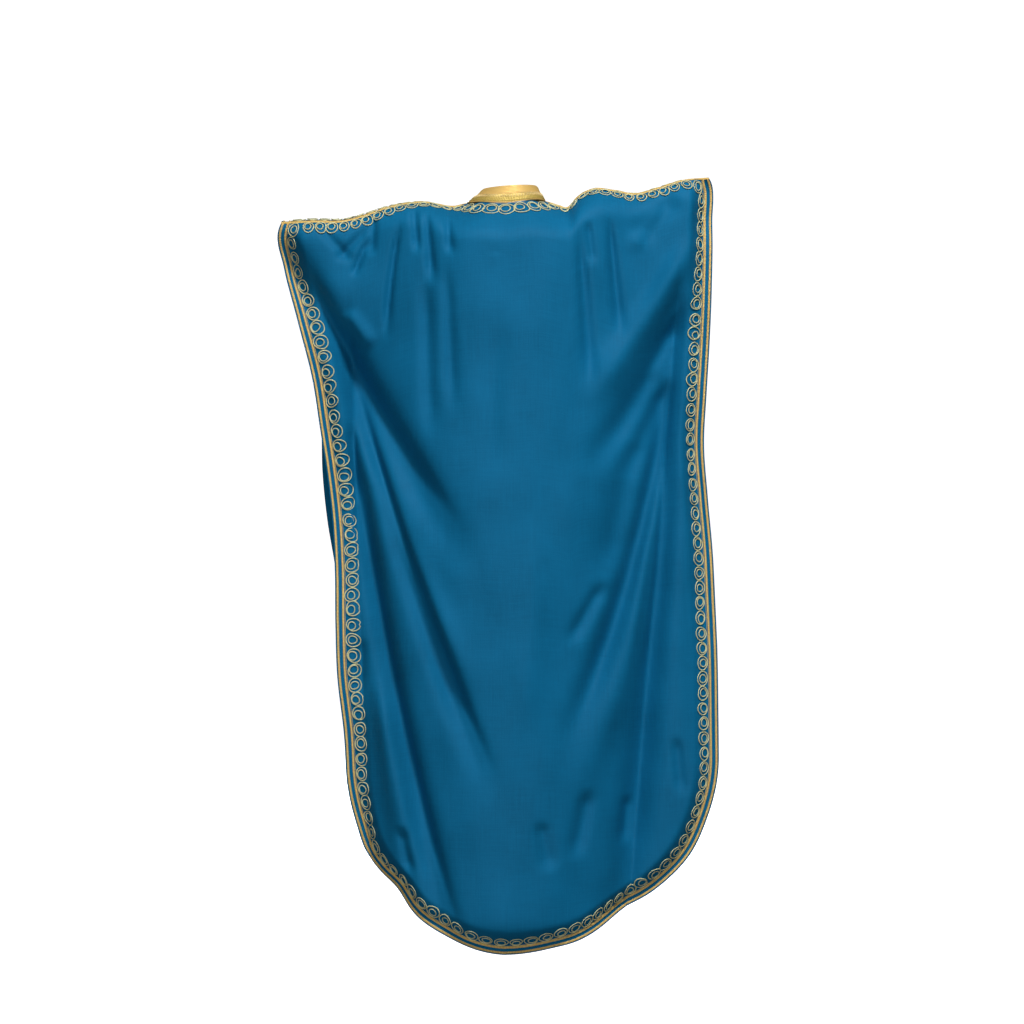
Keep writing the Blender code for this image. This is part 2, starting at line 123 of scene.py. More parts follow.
# Creases, from (x, drop) to (x, drop) on the hanging cloth: the sideways bow of the line between, the
# half-widths at its two ends, and the height out from the wearer, negative for a trough
FOLD_COLUMNS = ("x0", "drop0", "x1", "drop1", "bow", "width0", "width1", "height")
FOLD_RISE = (-0.05, 0.25)
FOLD_END = (0.73, 1.08)
FOLD_ROOM = 0.03
FOLD_TOP = 0.08
LARGE_FOLDS = {
    "back": (
        (0.445, 0.004, 0.083, 0.655, -0.011, 0.024, 0.036, -0.034),
        (0.290, 0.400, 0.060, 0.900, -0.010, 0.012, 0.034, 0.014),
        (0.292, 0.330, 0.034, 1.070, -0.012, 0.016, 0.023, -0.028),
        (0.290, 0.420, 0.097, 1.385, -0.016, 0.016, 0.026, -0.030),
        (0.240, 0.900, 0.175, 1.240, 0.000, 0.022, 0.028, 0.014),
        (-0.345, 0.070, -0.154, 0.365, 0.009, 0.020, 0.034, 0.022),
        (-0.340, 0.185, -0.158, 0.490, 0.010, 0.018, 0.030, -0.023),
        (-0.305, 0.325, -0.117, 0.990, 0.026, 0.015, 0.023, -0.030),
        (-0.291, 0.440, -0.140, 1.080, 0.034, 0.018, 0.028, 0.012),
        (-0.306, 0.420, -0.209, 1.330, 0.012, 0.015, 0.030, -0.021),
    ),
    "front": (
        (-0.300, 0.300, -0.100, 0.650, 0.010, 0.022, 0.036, -0.030),
        (-0.290, 0.350, -0.050, 1.020, 0.012, 0.018, 0.026, -0.025),
        (-0.280, 0.450, -0.110, 1.330, 0.016, 0.018, 0.028, -0.024),
        (0.300, 0.300, 0.130, 0.640, -0.008, 0.020, 0.034, -0.027),
        (0.280, 0.400, 0.080, 1.100, -0.014, 0.018, 0.026, -0.025),
        (0.270, 0.500, 0.160, 1.300, -0.010, 0.020, 0.030, -0.021),
    ),
}
# Folds that both layers of a wing share, with height towards the back
WING_FOLDS = (
    (-0.352, 0.360, -0.360, 1.100, 0.000, 0.024, 0.026, -0.014),
    (0.318, 0.360, 0.296, 1.100, 0.000, 0.024, 0.026, 0.008),
)
SMALL_TOP = (0.004, 0.03)
SMALL_FOLDS = {
    "back": (
        # from the wearer's left sleeve towards the waist and the hem
        (0.377, 0.109, 0.093, 0.585, -0.018, 0.010, 0.014, -0.011),
        (0.350, 0.262, 0.285, 0.323, 0.000, 0.007, 0.009, -0.004),
        (0.282, 0.338, 0.029, 1.033, -0.012, 0.007, 0.009, -0.011),
        (0.264, 0.594, 0.088, 1.344, -0.014, 0.007, 0.009, -0.009),
        (0.291, 0.411, 0.282, 0.558, 0.000, 0.010, 0.010, -0.011),
        (0.271, 0.814, 0.275, 0.924, 0.000, 0.010, 0.010, -0.009),
        (0.194, 1.161, 0.179, 1.253, 0.000, 0.010, 0.011, -0.012),
        (0.300, 0.205, 0.250, 0.270, 0.000, 0.014, 0.018, 0.011),
        # gathers held in the left shoulder seam
        (0.345, 0.050, 0.285, 0.115, 0.000, 0.008, 0.009, -0.008),
        (0.316, 0.112, 0.252, 0.046, 0.000, 0.007, 0.008, -0.009),
        (0.285, 0.140, 0.256, 0.070, 0.000, 0.006, 0.007, -0.012),
        (0.245, 0.030, 0.250, 0.100, 0.000, 0.006, 0.008, -0.012),
        (0.196, 0.040, 0.222, 0.250, -0.004, 0.005, 0.008, -0.013),
        (0.170, 0.010, 0.163, 0.095, 0.000, 0.006, 0.008, -0.012),
        (0.148, 0.015, 0.135, 0.150, 0.000, 0.006, 0.010, -0.013),
        (0.108, 0.020, 0.102, 0.090, 0.000, 0.006, 0.008, -0.011),
        (0.108, 0.118, 0.098, 0.375, 0.000, 0.010, 0.013, -0.009),
        (0.148, 0.137, 0.139, 0.429, 0.000, 0.012, 0.016, -0.011),
        # the raised right shoulder
        (-0.318, -0.010, -0.245, 0.070, 0.000, 0.018, 0.024, -0.012),
        (-0.291, 0.009, -0.227, 0.090, 0.000, 0.012, 0.016, 0.006),
        (-0.135, 0.040, -0.157, 0.338, 0.000, 0.008, 0.014, -0.013),
        (-0.190, 0.020, -0.212, 0.246, 0.000, 0.006, 0.012, -0.013),
        (-0.150, 0.030, -0.160, 0.110, 0.000, 0.006, 0.008, -0.009),
        (-0.318, 0.246, -0.273, 0.329, 0.000, 0.012, 0.013, 0.008),
        # from the right sleeve towards the waist and the hem
        (-0.304, 0.329, -0.227, 0.503, 0.000, 0.014, 0.026, -0.021),
        (-0.235, 0.450, -0.190, 0.690, 0.000, 0.026, 0.032, -0.020),
        (-0.181, 0.704, -0.117, 0.814, 0.000, 0.012, 0.014, -0.012),
        (-0.154, 1.088, -0.126, 1.216, 0.000, 0.014, 0.016, -0.013),
        (-0.227, 1.107, -0.218, 1.198, 0.000, 0.010, 0.011, -0.011),
        (-0.318, 0.997, -0.328, 1.107, 0.000, 0.010, 0.012, -0.009),
        # the quiet middle, and the dents of the neck label's stitches
        (-0.062, 1.143, -0.081, 1.235, 0.000, 0.014, 0.016, -0.009),
        (0.020, 0.180, 0.028, 0.520, 0.000, 0.022, 0.030, -0.007),
        (-0.055, 0.560, -0.040, 0.980, 0.000, 0.026, 0.034, 0.007),
        (-0.038, 0.038, -0.040, 0.078, 0.000, 0.003, 0.003, -0.0022),
        (0.030, 0.077, 0.012, 0.075, 0.000, 0.003, 0.004, -0.0018),
    ),
    "front": (
        (-0.330, 0.270, -0.280, 0.330, 0.000, 0.006, 0.008, -0.012),
        (-0.285, 0.350, -0.060, 0.980, 0.012, 0.008, 0.011, -0.011),
        (-0.265, 0.560, -0.120, 1.300, 0.014, 0.007, 0.010, -0.009),
        (-0.330, 0.110, -0.175, 0.400, 0.010, 0.010, 0.018, -0.013),
        (-0.170, 0.020, -0.150, 0.110, 0.000, 0.006, 0.008, -0.011),
        (-0.230, 0.030, -0.240, 0.160, 0.000, 0.007, 0.010, -0.012),
        (-0.110, 0.090, -0.080, 0.330, 0.000, 0.009, 0.016, -0.009),
        (-0.040, 0.260, -0.060, 0.560, 0.000, 0.018, 0.026, -0.007),
        (0.285, 0.330, 0.100, 1.020, -0.012, 0.008, 0.012, -0.011),
        (0.300, 0.480, 0.170, 1.280, -0.012, 0.007, 0.009, -0.009),
        (0.350, 0.090, 0.200, 0.380, -0.010, 0.009, 0.018, -0.013),
        (0.180, 0.020, 0.165, 0.120, 0.000, 0.006, 0.009, -0.011),
        (0.250, 0.030, 0.235, 0.150, 0.000, 0.007, 0.010, -0.012),
        (0.120, 0.100, 0.100, 0.360, 0.000, 0.010, 0.016, -0.009),
        (0.050, 0.620, 0.030, 1.050, 0.000, 0.024, 0.032, 0.009),
        (-0.020, 1.050, -0.030, 1.290, 0.000, 0.016, 0.022, -0.011),
        (0.150, 1.080, 0.130, 1.230, 0.000, 0.012, 0.014, -0.011),
    ),
}

# Slow unevenness of hanging cloth: waves a metre across and down, phase and share of the depth
SLOW_WAVES = (
    (3.1, 1.3, 0.4, 1.00), (5.2, -2.1, 1.9, 0.70), (8.3, 1.1, 3.2, 0.45),
    (11.9, -3.4, 5.1, 0.30), (2.2, 6.3, 2.7, 0.40), (17.3, 4.9, 0.9, 0.14),
)
SLOW_DEPTH = 0.0016

# How far the shoulder seam has slipped behind the crest, and how much more steeply than a quarter
# of an ellipse the back falls away from it
SHOULDER = {
    "x": (-0.400, -0.300, -0.220, -0.160, -0.125, -0.080, 0.000, 0.080, 0.120, 0.170, 0.300, 0.430),
    "slip": (0.008, 0.014, 0.013, 0.008, 0.002, 0.000, 0.000, 0.000, 0.006, 0.020, 0.024, 0.024),
    "steep": (0.000, 0.003, 0.009, 0.014, 0.016, 0.024, 0.030, 0.024, 0.012, 0.005, 0.002, 0.000),
}
SLIP_FADE = 0.25
REST_FROM = (0.05, 0.20)
STEEP_OVER = 0.028

# The edge strip, inside its cords, turns towards the front; the hem curls under
EDGE_TURN = 0.036
EDGE_TURN_FROM = 0.050
EDGE_TURN_TO = 0.012
EDGE_TURN_SHARE = {"down": (0.00, 0.04, 0.08, 0.15, 0.25, 0.50, 0.80, 1.10, 1.30, 1.465),
                   "left": (0.17, 0.80, 1.10, 1.05, 0.80, 0.72, 0.62, 0.70, 0.90, 0.40),
                   "right": (0.10, 1.25, 1.55, 1.10, 0.85, 0.90, 0.85, 0.85, 1.00, 0.45)}
# Ripples of the hem in and out: where round the bottom, from the wearer's left, half-width, both in
# degrees, and height
HEM_RIPPLES = (
    (32, 7, 0.004), (50, 7, -0.010), (70, 8, -0.003), (92, 9, 0.003), (112, 6, 0.002),
    (128, 8, -0.008), (152, 9, 0.006),
)
RIPPLE_REACH = 0.10
CALM_FROM = 0.055
HEM_CURL = 0.030
HEM_CURL_FROM = 0.085
HEM_CURL_HALF = 0.16

# Trim, as distances in from a panel's edge, and its sections: the lay of the gold cord's plies, the
# dents between its lobes and the least share of its height at its sides
HEM_ROLL = (0.0000, 0.0022)
OUTER_CORD = (0.0024, 0.0066)
INNER_CORD = (0.0128, 0.0170)
THREAD_LINE = (0.0182, 0.0190)
SHOULDER_CORD_HALF = 0.0040
CORD_LAY = 0.0026
CORD_DENT = 0.30
SHOULDER_DENT = 0.25
CORD_FOOT = 0.12
HEM_ROLL_HEIGHT = 0.0010
THREAD_HEIGHT = 0.0009
RING_CLEAR = 1.4
SHOULDER_CLEAR = 2.0

# Unevenness of the hand-couched rings: range of size, shares of the two waves round a ring, and spread
# of place along and across
RING_SIZES = (0.93, 1.05)
RING_WAVES = (0.060, 0.030)
RING_SPREAD = (0.0009, 0.0007)

# Seam stitches: where they end, and how far in from the panel's edge and the slit's middle they stay
SEAM_TO = 1.36
SEAM_EDGE = 0.058
SLIT_SEAM = 0.0062

# The collar: half the angle of its front opening, its height, how far its foot stands over the panels'
# wall, the power of its lean, and the levels on it of the braid, the upright bars and the two sewn rows
COLLAR_OPENING = 0.06
COLLAR_TALL = 0.040
COLLAR_FOOT = 0.00064
COLLAR_LEAN = 0.8
BAND = (0.06, 0.50)
BAND_RISE = 0.0005
BAND_KNOTS = 0.00018
BAR_LEVEL = 0.40
BAR_STEP = 0.0030
BAR_SIZE = (0.0072, 0.00062)
SEWN_LEVELS = (0.56, 0.93)
SEWN_STEP = 0.0034
SEWN_SIZE = (0.0025, 0.00030)

# Grids: rows and columns of a panel, how much closer its columns are at the edges, and the samples
# along an edge and steps inwards of the strip that carries the trim
COLUMNS = 170
EDGE_CLOSER = 0.22
NECK_COLUMNS = 28
UPPER_ROWS = 190
ROUND_ROWS = 66
ROWS_SETTLE = (0.02, 0.35)
SLIT_FADE = 0.02
EDGE_SAMPLES = 1500
EVEN_OVER = 0.030
INSET_STEP = 0.0030
INSET_ROWS = 18
NUDGE = 1e-4
JOIN = 1e-9


def read(table, column, at, key="down"):
    """A column of a table at any place, by cubic Hermite curves through its rows."""
    knots = np.array(table[key])
    values = np.array(table[column])
    at = np.clip(at, knots[0], knots[-1])
    slopes = np.gradient(values, knots)
    i = np.clip(np.searchsorted(knots, at, side="right") - 1, 0, len(knots) - 2)
    span = knots[i + 1] - knots[i]
    f = (at - knots[i]) / span
    start = values[i] * (1 + 2 * f) * (1 - f) ** 2 + slopes[i] * span * f * (1 - f) ** 2
    end = values[i + 1] * f * f * (3 - 2 * f) + slopes[i + 1] * span * f * f * (f - 1)
    return start + end


def ramp(at, start, end):
    """0 before start, 1 after end and a smooth rise between them."""
    f = np.clip((at - start) / (end - start), 0, 1)
    return f * f * (3 - 2 * f)


def edge_of(side, t, x):
    """Worn half-width of a panel on the side that x lies on."""
    return np.where(x > 0, read(EDGES, f"{side}_left", t), read(EDGES, f"{side}_right", t))


def seam_of(t, x):
    """Distance of the side seam from the middle, on the side that x lies on."""
    return np.where(x > 0, read(BODY, "seam_left", t), read(BODY, "seam_right", t))


def folds_at(rows, x, drop):
    """Sum of the folds: each a rounded ridge, exp(-(distance / width)^2), along its own line."""
    total = np.zeros_like(x)
    for row in rows:
        fold = dict(zip(FOLD_COLUMNS, row))
        run = np.array([fold["x1"] - fold["x0"], fold["drop1"] - fold["drop0"]])
        length = math.hypot(*run)
        along = ((x - fold["x0"]) * run[0] + (drop - fold["drop0"]) * run[1]) / length**2
        off = ((drop - fold["drop0"]) * run[0] - (x - fold["x0"]) * run[1]) / length
        part = np.clip(along, 0, 1)
        off = off - fold["bow"] * 4 * part * (1 - part)
        width = fold["width0"] + (fold["width1"] - fold["width0"]) * part
        taper = ramp(along, *FOLD_RISE) * (1 - ramp(along, *FOLD_END))
        total += fold["height"] * taper * np.exp(-((off / width) ** 2))
    return total


def edge_room(side, x, t):
    """About how far a place is in from the panel's edge: one less its radius on the half-width and, at
    the rounded bottom, on the ellipse, times the half-width there."""
    half = edge_of(side, t, x)
    q = np.clip((t - ROUND_FROM) / (LENGTH - ROUND_FROM), 0, 1)
    return (1 - np.hypot(x / half, q)) * (half + (LENGTH - ROUND_FROM - half) * q)


def creased(away, folds):
    """Distance out with the folds on it: away * exp(folds / away) in a trough, so that it never
    passes the other panel, and ridges fade where there is little room."""
    room = np.maximum(away, JOIN)
    trough = away * np.exp(np.clip(np.minimum(folds, 0) / room, -20, 0))
    return np.where(away > 0, trough, away) + np.maximum(folds, 0) * ramp(away, 0, FOLD_ROOM)


def worn(side, x, t, small=True):
    """Worn place of the points (x, t) on the middle of a panel's wall.

    The cloth leaves the shoulder line level, bends down over a quarter of an ellipse, then hangs. It
    stands away from the wearer by a bulge between the side seams and by the wing's half-space outside
    them. The folds, the slow unevenness, the turned edge and the curled hem are added to that. Where a
    trough of the back is deeper than its room, both panels move forward by the rest."""
    x, t = np.broadcast_arrays(np.asarray(x, float), np.asarray(t, float))
    back = side == "back"
    way = t + OUTWARD[side] * read(SHOULDER, "slip", x, "x") * (1 - ramp(t, 0, SLIP_FADE))
    bodily = np.exp(-((np.abs(x) / BODY_HALF) ** 3))
    reach = {s: ARM_REACH + (BODY_REACH[s] - ARM_REACH) * bodily for s in BODY_REACH}
    fall = ARM_REACH + (BODY_FALL - ARM_REACH) * bodily
    bend = (reach["back"] + fall) / 2
    turn = np.minimum(way / bend, math.pi / 2)
    hang = np.maximum(way - bend * math.pi / 2, 0)
    stretch = (HEM_DROP - fall) / (LENGTH - bend * math.pi / 2)
    drop = fall * (1 - np.cos(turn)) + hang * stretch
    even_drop = drop - read(CREST, "height", x, "x") * (1 - t / LENGTH)
    z = -even_drop
    if back:
        below = np.maximum(t - neck_dip(side, x), 0)
        steep = read(SHOULDER, "steep", x, "x") * (1 - np.exp(-below / STEEP_OVER))
        z = z - steep * (1 - t / LENGTH)

    seam = seam_of(t, x)
    inside = np.clip(1 - (np.abs(x) / seam) ** SEAM_ROUND, 0, 1)
    outside = 1 - np.exp(-np.maximum(np.abs(x) - seam, 0) / WING_SPREAD)
    pinch = ramp(t, SEAM_FROM, SEAM_HELD)
    inset = edge_room(side, x, t)
    room, folds = {}, {}
    for s in ("back", "front"):
        held = read(BODY, s, t) * inside + read(BODY, "wing", t) * outside
        free = np.where(turn < 0, reach["back"], reach[s]) * np.sin(turn)
        room[s] = free * (1 - pinch) + held * pinch
        folds[s] = folds_at(LARGE_FOLDS[s], x, even_drop) * ramp(t, 0, FOLD_TOP)
        if small:
            waves = sum(share * np.sin(a * math.tau * x + b * math.tau * t + phase)
                        for a, b, phase, share in SLOW_WAVES)
            calm = ramp(inset, 0, CALM_FROM)
            folds[s] = folds[s] + SLOW_DEPTH * waves * ramp(t, 0, FOLD_TOP)
            folds[s] = folds[s] + folds_at(SMALL_FOLDS[s], x, even_drop) * calm * ramp(t, *SMALL_TOP)
    away = creased(room[side], folds[side])
    rest = np.minimum(folds["back"], 0) - np.minimum(creased(room["back"], folds["back"]) - room["back"], 0)
    away = away + GAP / 2 + SOLID_WALL / 2 * np.sin(turn)

    curled = np.exp(-((x / HEM_CURL_HALF) ** 2)) * ramp(t, LENGTH - HEM_CURL_FROM, LENGTH)
    away = away - HEM_CURL * curled * curled
    share = np.where(x > 0, read(EDGE_TURN_SHARE, "left", t), read(EDGE_TURN_SHARE, "right", t))
    turned = EDGE_TURN * share * (1 - ramp(inset, EDGE_TURN_TO, EDGE_TURN_FROM))
    shared = folds_at(WING_FOLDS, x, even_drop) + rest * ramp(t, *REST_FROM)
    y = shared - turned + (away if back else -away)
    bearing = np.degrees(np.arctan2(t - ROUND_FROM, x))
    ripple = sum(height * np.exp(-(((bearing - at) / width) ** 2)) for at, width, height in HEM_RIPPLES)
    ripple = ripple * (1 - ramp(inset, 0, RIPPLE_REACH))
    out = np.radians(bearing)
    return np.stack([x + ripple * np.cos(out), y, z - ripple * np.sin(out)], axis=-1)


def surface(side, x, t, small=True):
    """Worn places with their tangents across and down, and the unit normal out from the wearer."""
    low = np.maximum(t - NUDGE, 0)
    across = (worn(side, x + NUDGE, t, small) - worn(side, x - NUDGE, t, small)) / (2 * NUDGE)
    down = (worn(side, x, t + NUDGE, small) - worn(side, x, low, small)) / (t + NUDGE - low)[..., None]
    normal = np.cross(across, down)
    normal *= OUTWARD[side] / np.linalg.norm(normal, axis=-1)[..., None]
    return worn(side, x, t, small), across, down, normal


def unit(vectors):
    """Vectors divided by their lengths."""
    return vectors / np.maximum(np.linalg.norm(vectors, axis=-1), JOIN)[..., None]


def outline(side):
    """Points (x, t) of a panel's sides and rounded bottom, from the left shoulder to the right."""
    corner = np.linspace(0, math.pi / 2, EDGE_SAMPLES)
    t = ROUND_FROM + (LENGTH - ROUND_FROM) * np.sin(corner) ** (2 / ROUND_POWER)
    t = np.concatenate([np.linspace(0, ROUND_FROM, EDGE_SAMPLES)[:-1], t])
    part = np.concatenate([np.ones(EDGE_SAMPLES - 1), np.cos(corner) ** (2 / ROUND_POWER)])
    left = np.stack([edge_of(side, t, 1.0) * part, t], axis=-1)
    right = np.stack([-edge_of(side, t, -1.0) * part, t], axis=-1)
    return np.concatenate([left, right[-2::-1]])


def neck_top(side, x):
    """The way down the cloth at which a panel begins: the neckline's ellipse, or the shoulder."""
    bend = (BODY_REACH["back"] + BODY_FALL) / 2
    inside = np.sqrt(np.clip(1 - (x / NECK_SIDE) ** 2, 0, 1))
    return bend * np.arcsin(NECK_DEPTH[side] * inside / BODY_REACH[side])


def neck_dip(side, x):
    """The neckline's dip as a bell without corners, t0 * exp(-(x / NECK_BELL)^4)."""
    return neck_top(side, 0.0) * np.exp(-((x / NECK_BELL) ** 4))


def neck_line(side):
    """Points (x, t) beside the top of a panel, from the right sleeve to the left."""
    x = np.linspace(-edge_of(side, 0.0, -1.0), edge_of(side, 0.0, 1.0), 2 * EDGE_SAMPLES)
    return np.stack([x, neck_dip(side, x)], axis=-1)


class Lane:
    """The strip inside a line on a panel, as places (run, inset) over the worn cloth.

    The line is marched inwards in equal true steps at right angles to itself, which gives a grid of
    parallel lines; run is the true length along the one that the rings are centred on. With its ends
    held, the two ends slide along the shoulder line."""

    def __init__(self, side, line, centre, ends_held):
        self.side, self.ends_held = side, ends_held
        far = self.lengths(line)
        at = np.linspace(0, far[-1], EDGE_SAMPLES)
        line = np.stack([np.interp(at, far, line[:, i]) for i in (0, 1)], axis=-1)
        spread = round(EVEN_OVER / (far[-1] / EDGE_SAMPLES))
        self.kernel = np.hanning(2 * spread + 3)[1:-1]
        self.kernel /= self.kernel.sum()
        rows = [line]
        for _ in range(INSET_ROWS):
            line = line + self.step_in(line)
            rows.append(line)
        self.rows = np.stack(rows)
        self.runs = self.lengths(self.rows[round(centre / INSET_STEP)])
        self.length = self.runs[-1]

    def lengths(self, line):
        """True length along a line up to each of its points."""
        places = worn(self.side, *line.T, small=False)
        return np.concatenate([[0], np.cumsum(np.linalg.norm(np.diff(places, axis=0), axis=1))])

    def step_in(self, line):
        """The change in (x, t) that moves each place a step inwards, square to the line, evened out
        along it."""
        _, across, down, normal = surface(self.side, *line.T, small=False)
        run = np.gradient(line, axis=0)
        along = unit(across * run[:, :1] + down * run[:, 1:])
        aim = np.cross(normal, along) * OUTWARD[self.side] * INSET_STEP
        aa, ad, dd = (np.sum(p * q, axis=1) for p, q in ((across, across), (across, down), (down, down)))
        pa, pd = np.sum(across * aim, axis=1), np.sum(down * aim, axis=1)
        size = aa * dd - ad * ad
        move = np.stack([(dd * pa - ad * pd) / size, (aa * pd - ad * pa) / size], axis=-1)
        half = len(self.kernel) // 2
        padded = np.pad(move, ((half, half), (0, 0)), mode="edge")
        move = np.stack([np.convolve(padded[:, i], self.kernel, "valid") for i in (0, 1)], axis=-1)
        if self.ends_held:
            move[:, 1] *= ramp(line[:, 1], 0, EVEN_OVER)
        return move

    def place(self, run, inset):
        """The (x, t) of a place in the strip, read between the grid's lines."""
        run, inset = np.broadcast_arrays(run, inset)
        i = np.interp(run, self.runs, np.arange(len(self.runs)))
        k = np.clip(inset / INSET_STEP, 0, INSET_ROWS)
        i0 = np.minimum(i.astype(int), len(self.runs) - 2)
        k0 = np.minimum(k.astype(int), INSET_ROWS - 1)
        along, inward = (i - i0)[..., None], (k - k0)[..., None]
        first = self.rows[k0, i0] * (1 - along) + self.rows[k0, i0 + 1] * along
        second = self.rows[k0 + 1, i0] * (1 - along) + self.rows[k0 + 1, i0 + 1] * along
        found = first * (1 - inward) + second * inward
        return found[..., 0], found[..., 1]


def link(name, points, faces, material, uv=None):
    """A mesh object from arrays, smooth, on the frame's only body, with an optional UV for each point."""
    used, index = np.unique(np.concatenate([np.ravel(f) for f in faces]), return_inverse=True)
    sizes = np.concatenate([np.full(len(f), f.shape[1]) for f in faces])
    mesh = bpy.data.meshes.new(name)
    mesh.vertices.add(len(used))
    mesh.vertices.foreach_set("co", points.reshape(-1, 3)[used].astype(np.float32).ravel())
    mesh.loops.add(len(index))
    mesh.loops.foreach_set("vertex_index", index.astype(np.int32).ravel())
    mesh.polygons.add(len(sizes))
    mesh.polygons.foreach_set("loop_start", np.concatenate([[0], np.cumsum(sizes)[:-1]]).astype(np.int32))
    mesh.polygons.foreach_set("loop_total", sizes.astype(np.int32))
    mesh.update(calc_edges=True)
    if uv is not None:
        layer = mesh.uv_layers.new(name="cloth")
        layer.data.foreach_set("uv", uv.reshape(-1, 2)[used][index.ravel()].astype(np.float32).ravel())
    mesh.shade_smooth()
    mesh.materials.append(material)
    obj = bpy.data.objects.new(name, mesh)
    bpy.context.scene.collection.objects.link(obj)
    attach(obj, "root")
    return obj


def grid_faces(rows, columns, wrap_rows=False, wrap_columns=False):
    """Quads of a grid of rows by columns of points, closed round either way if asked."""
    i = np.arange(rows if wrap_rows else rows - 1)[:, None]
    j = np.arange(columns if wrap_columns else columns - 1)[None]
    i1, j1 = (i + 1) % rows, (j + 1) % columns
    quads = np.stack([i * columns + j, i1 * columns + j, i1 * columns + j1, i * columns + j1], axis=-1)
    return quads.reshape(-1, 4)


def wall(obj, thickness):
    """Gives a sheet its wall, half to each side."""
    solid = obj.modifiers.new("wall", "SOLIDIFY")
    solid.thickness = thickness
    solid.offset = 0


def strip(name, side, lane, runs, insets, height, material, lobes=2):
    """A cord laid on the cloth: a rounded section between two insets, carried along the runs.

    The section's height is H * (1 - (2w - 1)^4), dented between its lobes; its underside lies a
    gap above the wall, and both ends are capped."""
    across = np.linspace(0, 1, 4 * lobes + 1)
    crown = 1 - (2 * across - 1) ** 4
    dents = CORD_DENT * (0.5 + 0.5 * np.cos(lobes * math.tau * across)) if lobes > 1 else 0
    lift = height * np.clip(crown * (1 - dents), CORD_FOOT, 1)
    inset = insets[0] + (insets[1] - insets[0]) * across
    inset = np.concatenate([inset, inset[::-1]])
    lift = np.concatenate([lift, np.zeros_like(lift)])
    run, inset = np.meshgrid(runs, inset, indexing="ij")
    place, _, _, normal = surface(side, *lane.place(run, inset))
    points = place + normal * (SOLID_WALL / 2 + GAP / 2 + lift)[None, :, None]
    return tube(name, points, material, np.stack([run, inset], axis=-1))


def tube(name, points, material, uv):
    """A closed section carried along rows of points, with both ends capped."""
    rows, columns = points.shape[:2]
    ends = [np.arange(columns)[None], (np.arange(columns)[::-1] + (rows - 1) * columns)[None]]
    faces = outward(points, [grid_faces(rows, columns, wrap_columns=True), *ends])
    return link(name, points, faces, material, uv)


def outward(points, faces):
    """The faces, all turned round if the closed shape that they make is inside out."""
    flat = points.reshape(-1, 3)
    volume = 0.0
    for group in faces:
        corner = flat[group]
        for k in range(1, group.shape[1] - 1):
            volume += np.sum(corner[:, 0] * np.cross(corner[:, k], corner[:, k + 1]))
    return faces if volume > 0 else [group[:, ::-1] for group in faces]


def loops(name, places, normals, half_width, half_height, material, sides=4):
    """Closed cords, one for each row of places: a flat oval section carried round each loop."""
    ahead = unit(np.roll(places, -1, axis=1) - np.roll(places, 1, axis=1))
    beside = unit(np.cross(normals, ahead))
    turn = np.arange(sides) * math.tau / sides
    points = (places[:, :, None] + beside[:, :, None] * (half_width * np.cos(turn))[:, None]
              + normals[:, :, None] * (half_height * np.sin(turn))[:, None])
    count, samples = places.shape[:2]
    one = grid_faces(samples, sides, wrap_rows=True, wrap_columns=True)
    faces = (one[None] + (np.arange(count) * samples * sides)[:, None, None]).reshape(-1, 4)
    far = np.broadcast_to(np.arange(samples)[None, :, None] / samples, points.shape[:3])
    round_ = np.broadcast_to((turn / math.tau)[None, None], points.shape[:3])
    return link(name, points, outward(points, [faces]), material, np.stack([far, round_], axis=-1))


def stitches(name, places, along, normals, length, radius, material, sides=5):
    """Short threads, one at each place: a spindle whose radius follows sin of the way along it."""
    way = np.linspace(0, 1, 6)
    thick = radius * np.clip(np.sin(math.pi * way), 0.05, 1) ** 0.5
    beside = np.cross(normals, along)
    turn = np.arange(sides) * math.tau / sides
    points = (places[:, None, None]
              + along[:, None, None] * ((way - 0.5) * length)[None, :, None, None]
              + beside[:, None, None] * (thick[:, None] * np.cos(turn))[None, :, :, None]
              + normals[:, None, None] * (thick[:, None] * np.sin(turn))[None, :, :, None])
    one = grid_faces(len(way), sides, wrap_columns=True)
    caps = np.stack([np.arange(sides), np.arange(sides)[::-1] + (len(way) - 1) * sides])
    offset = (np.arange(len(places)) * len(way) * sides)[:, None, None]
    faces = [(one[None] + offset).reshape(-1, 4), (caps[None] + offset).reshape(-1, sides)]
    return link(name, points, outward(points, faces), material)


# ---------------------------------------------------------------- materials


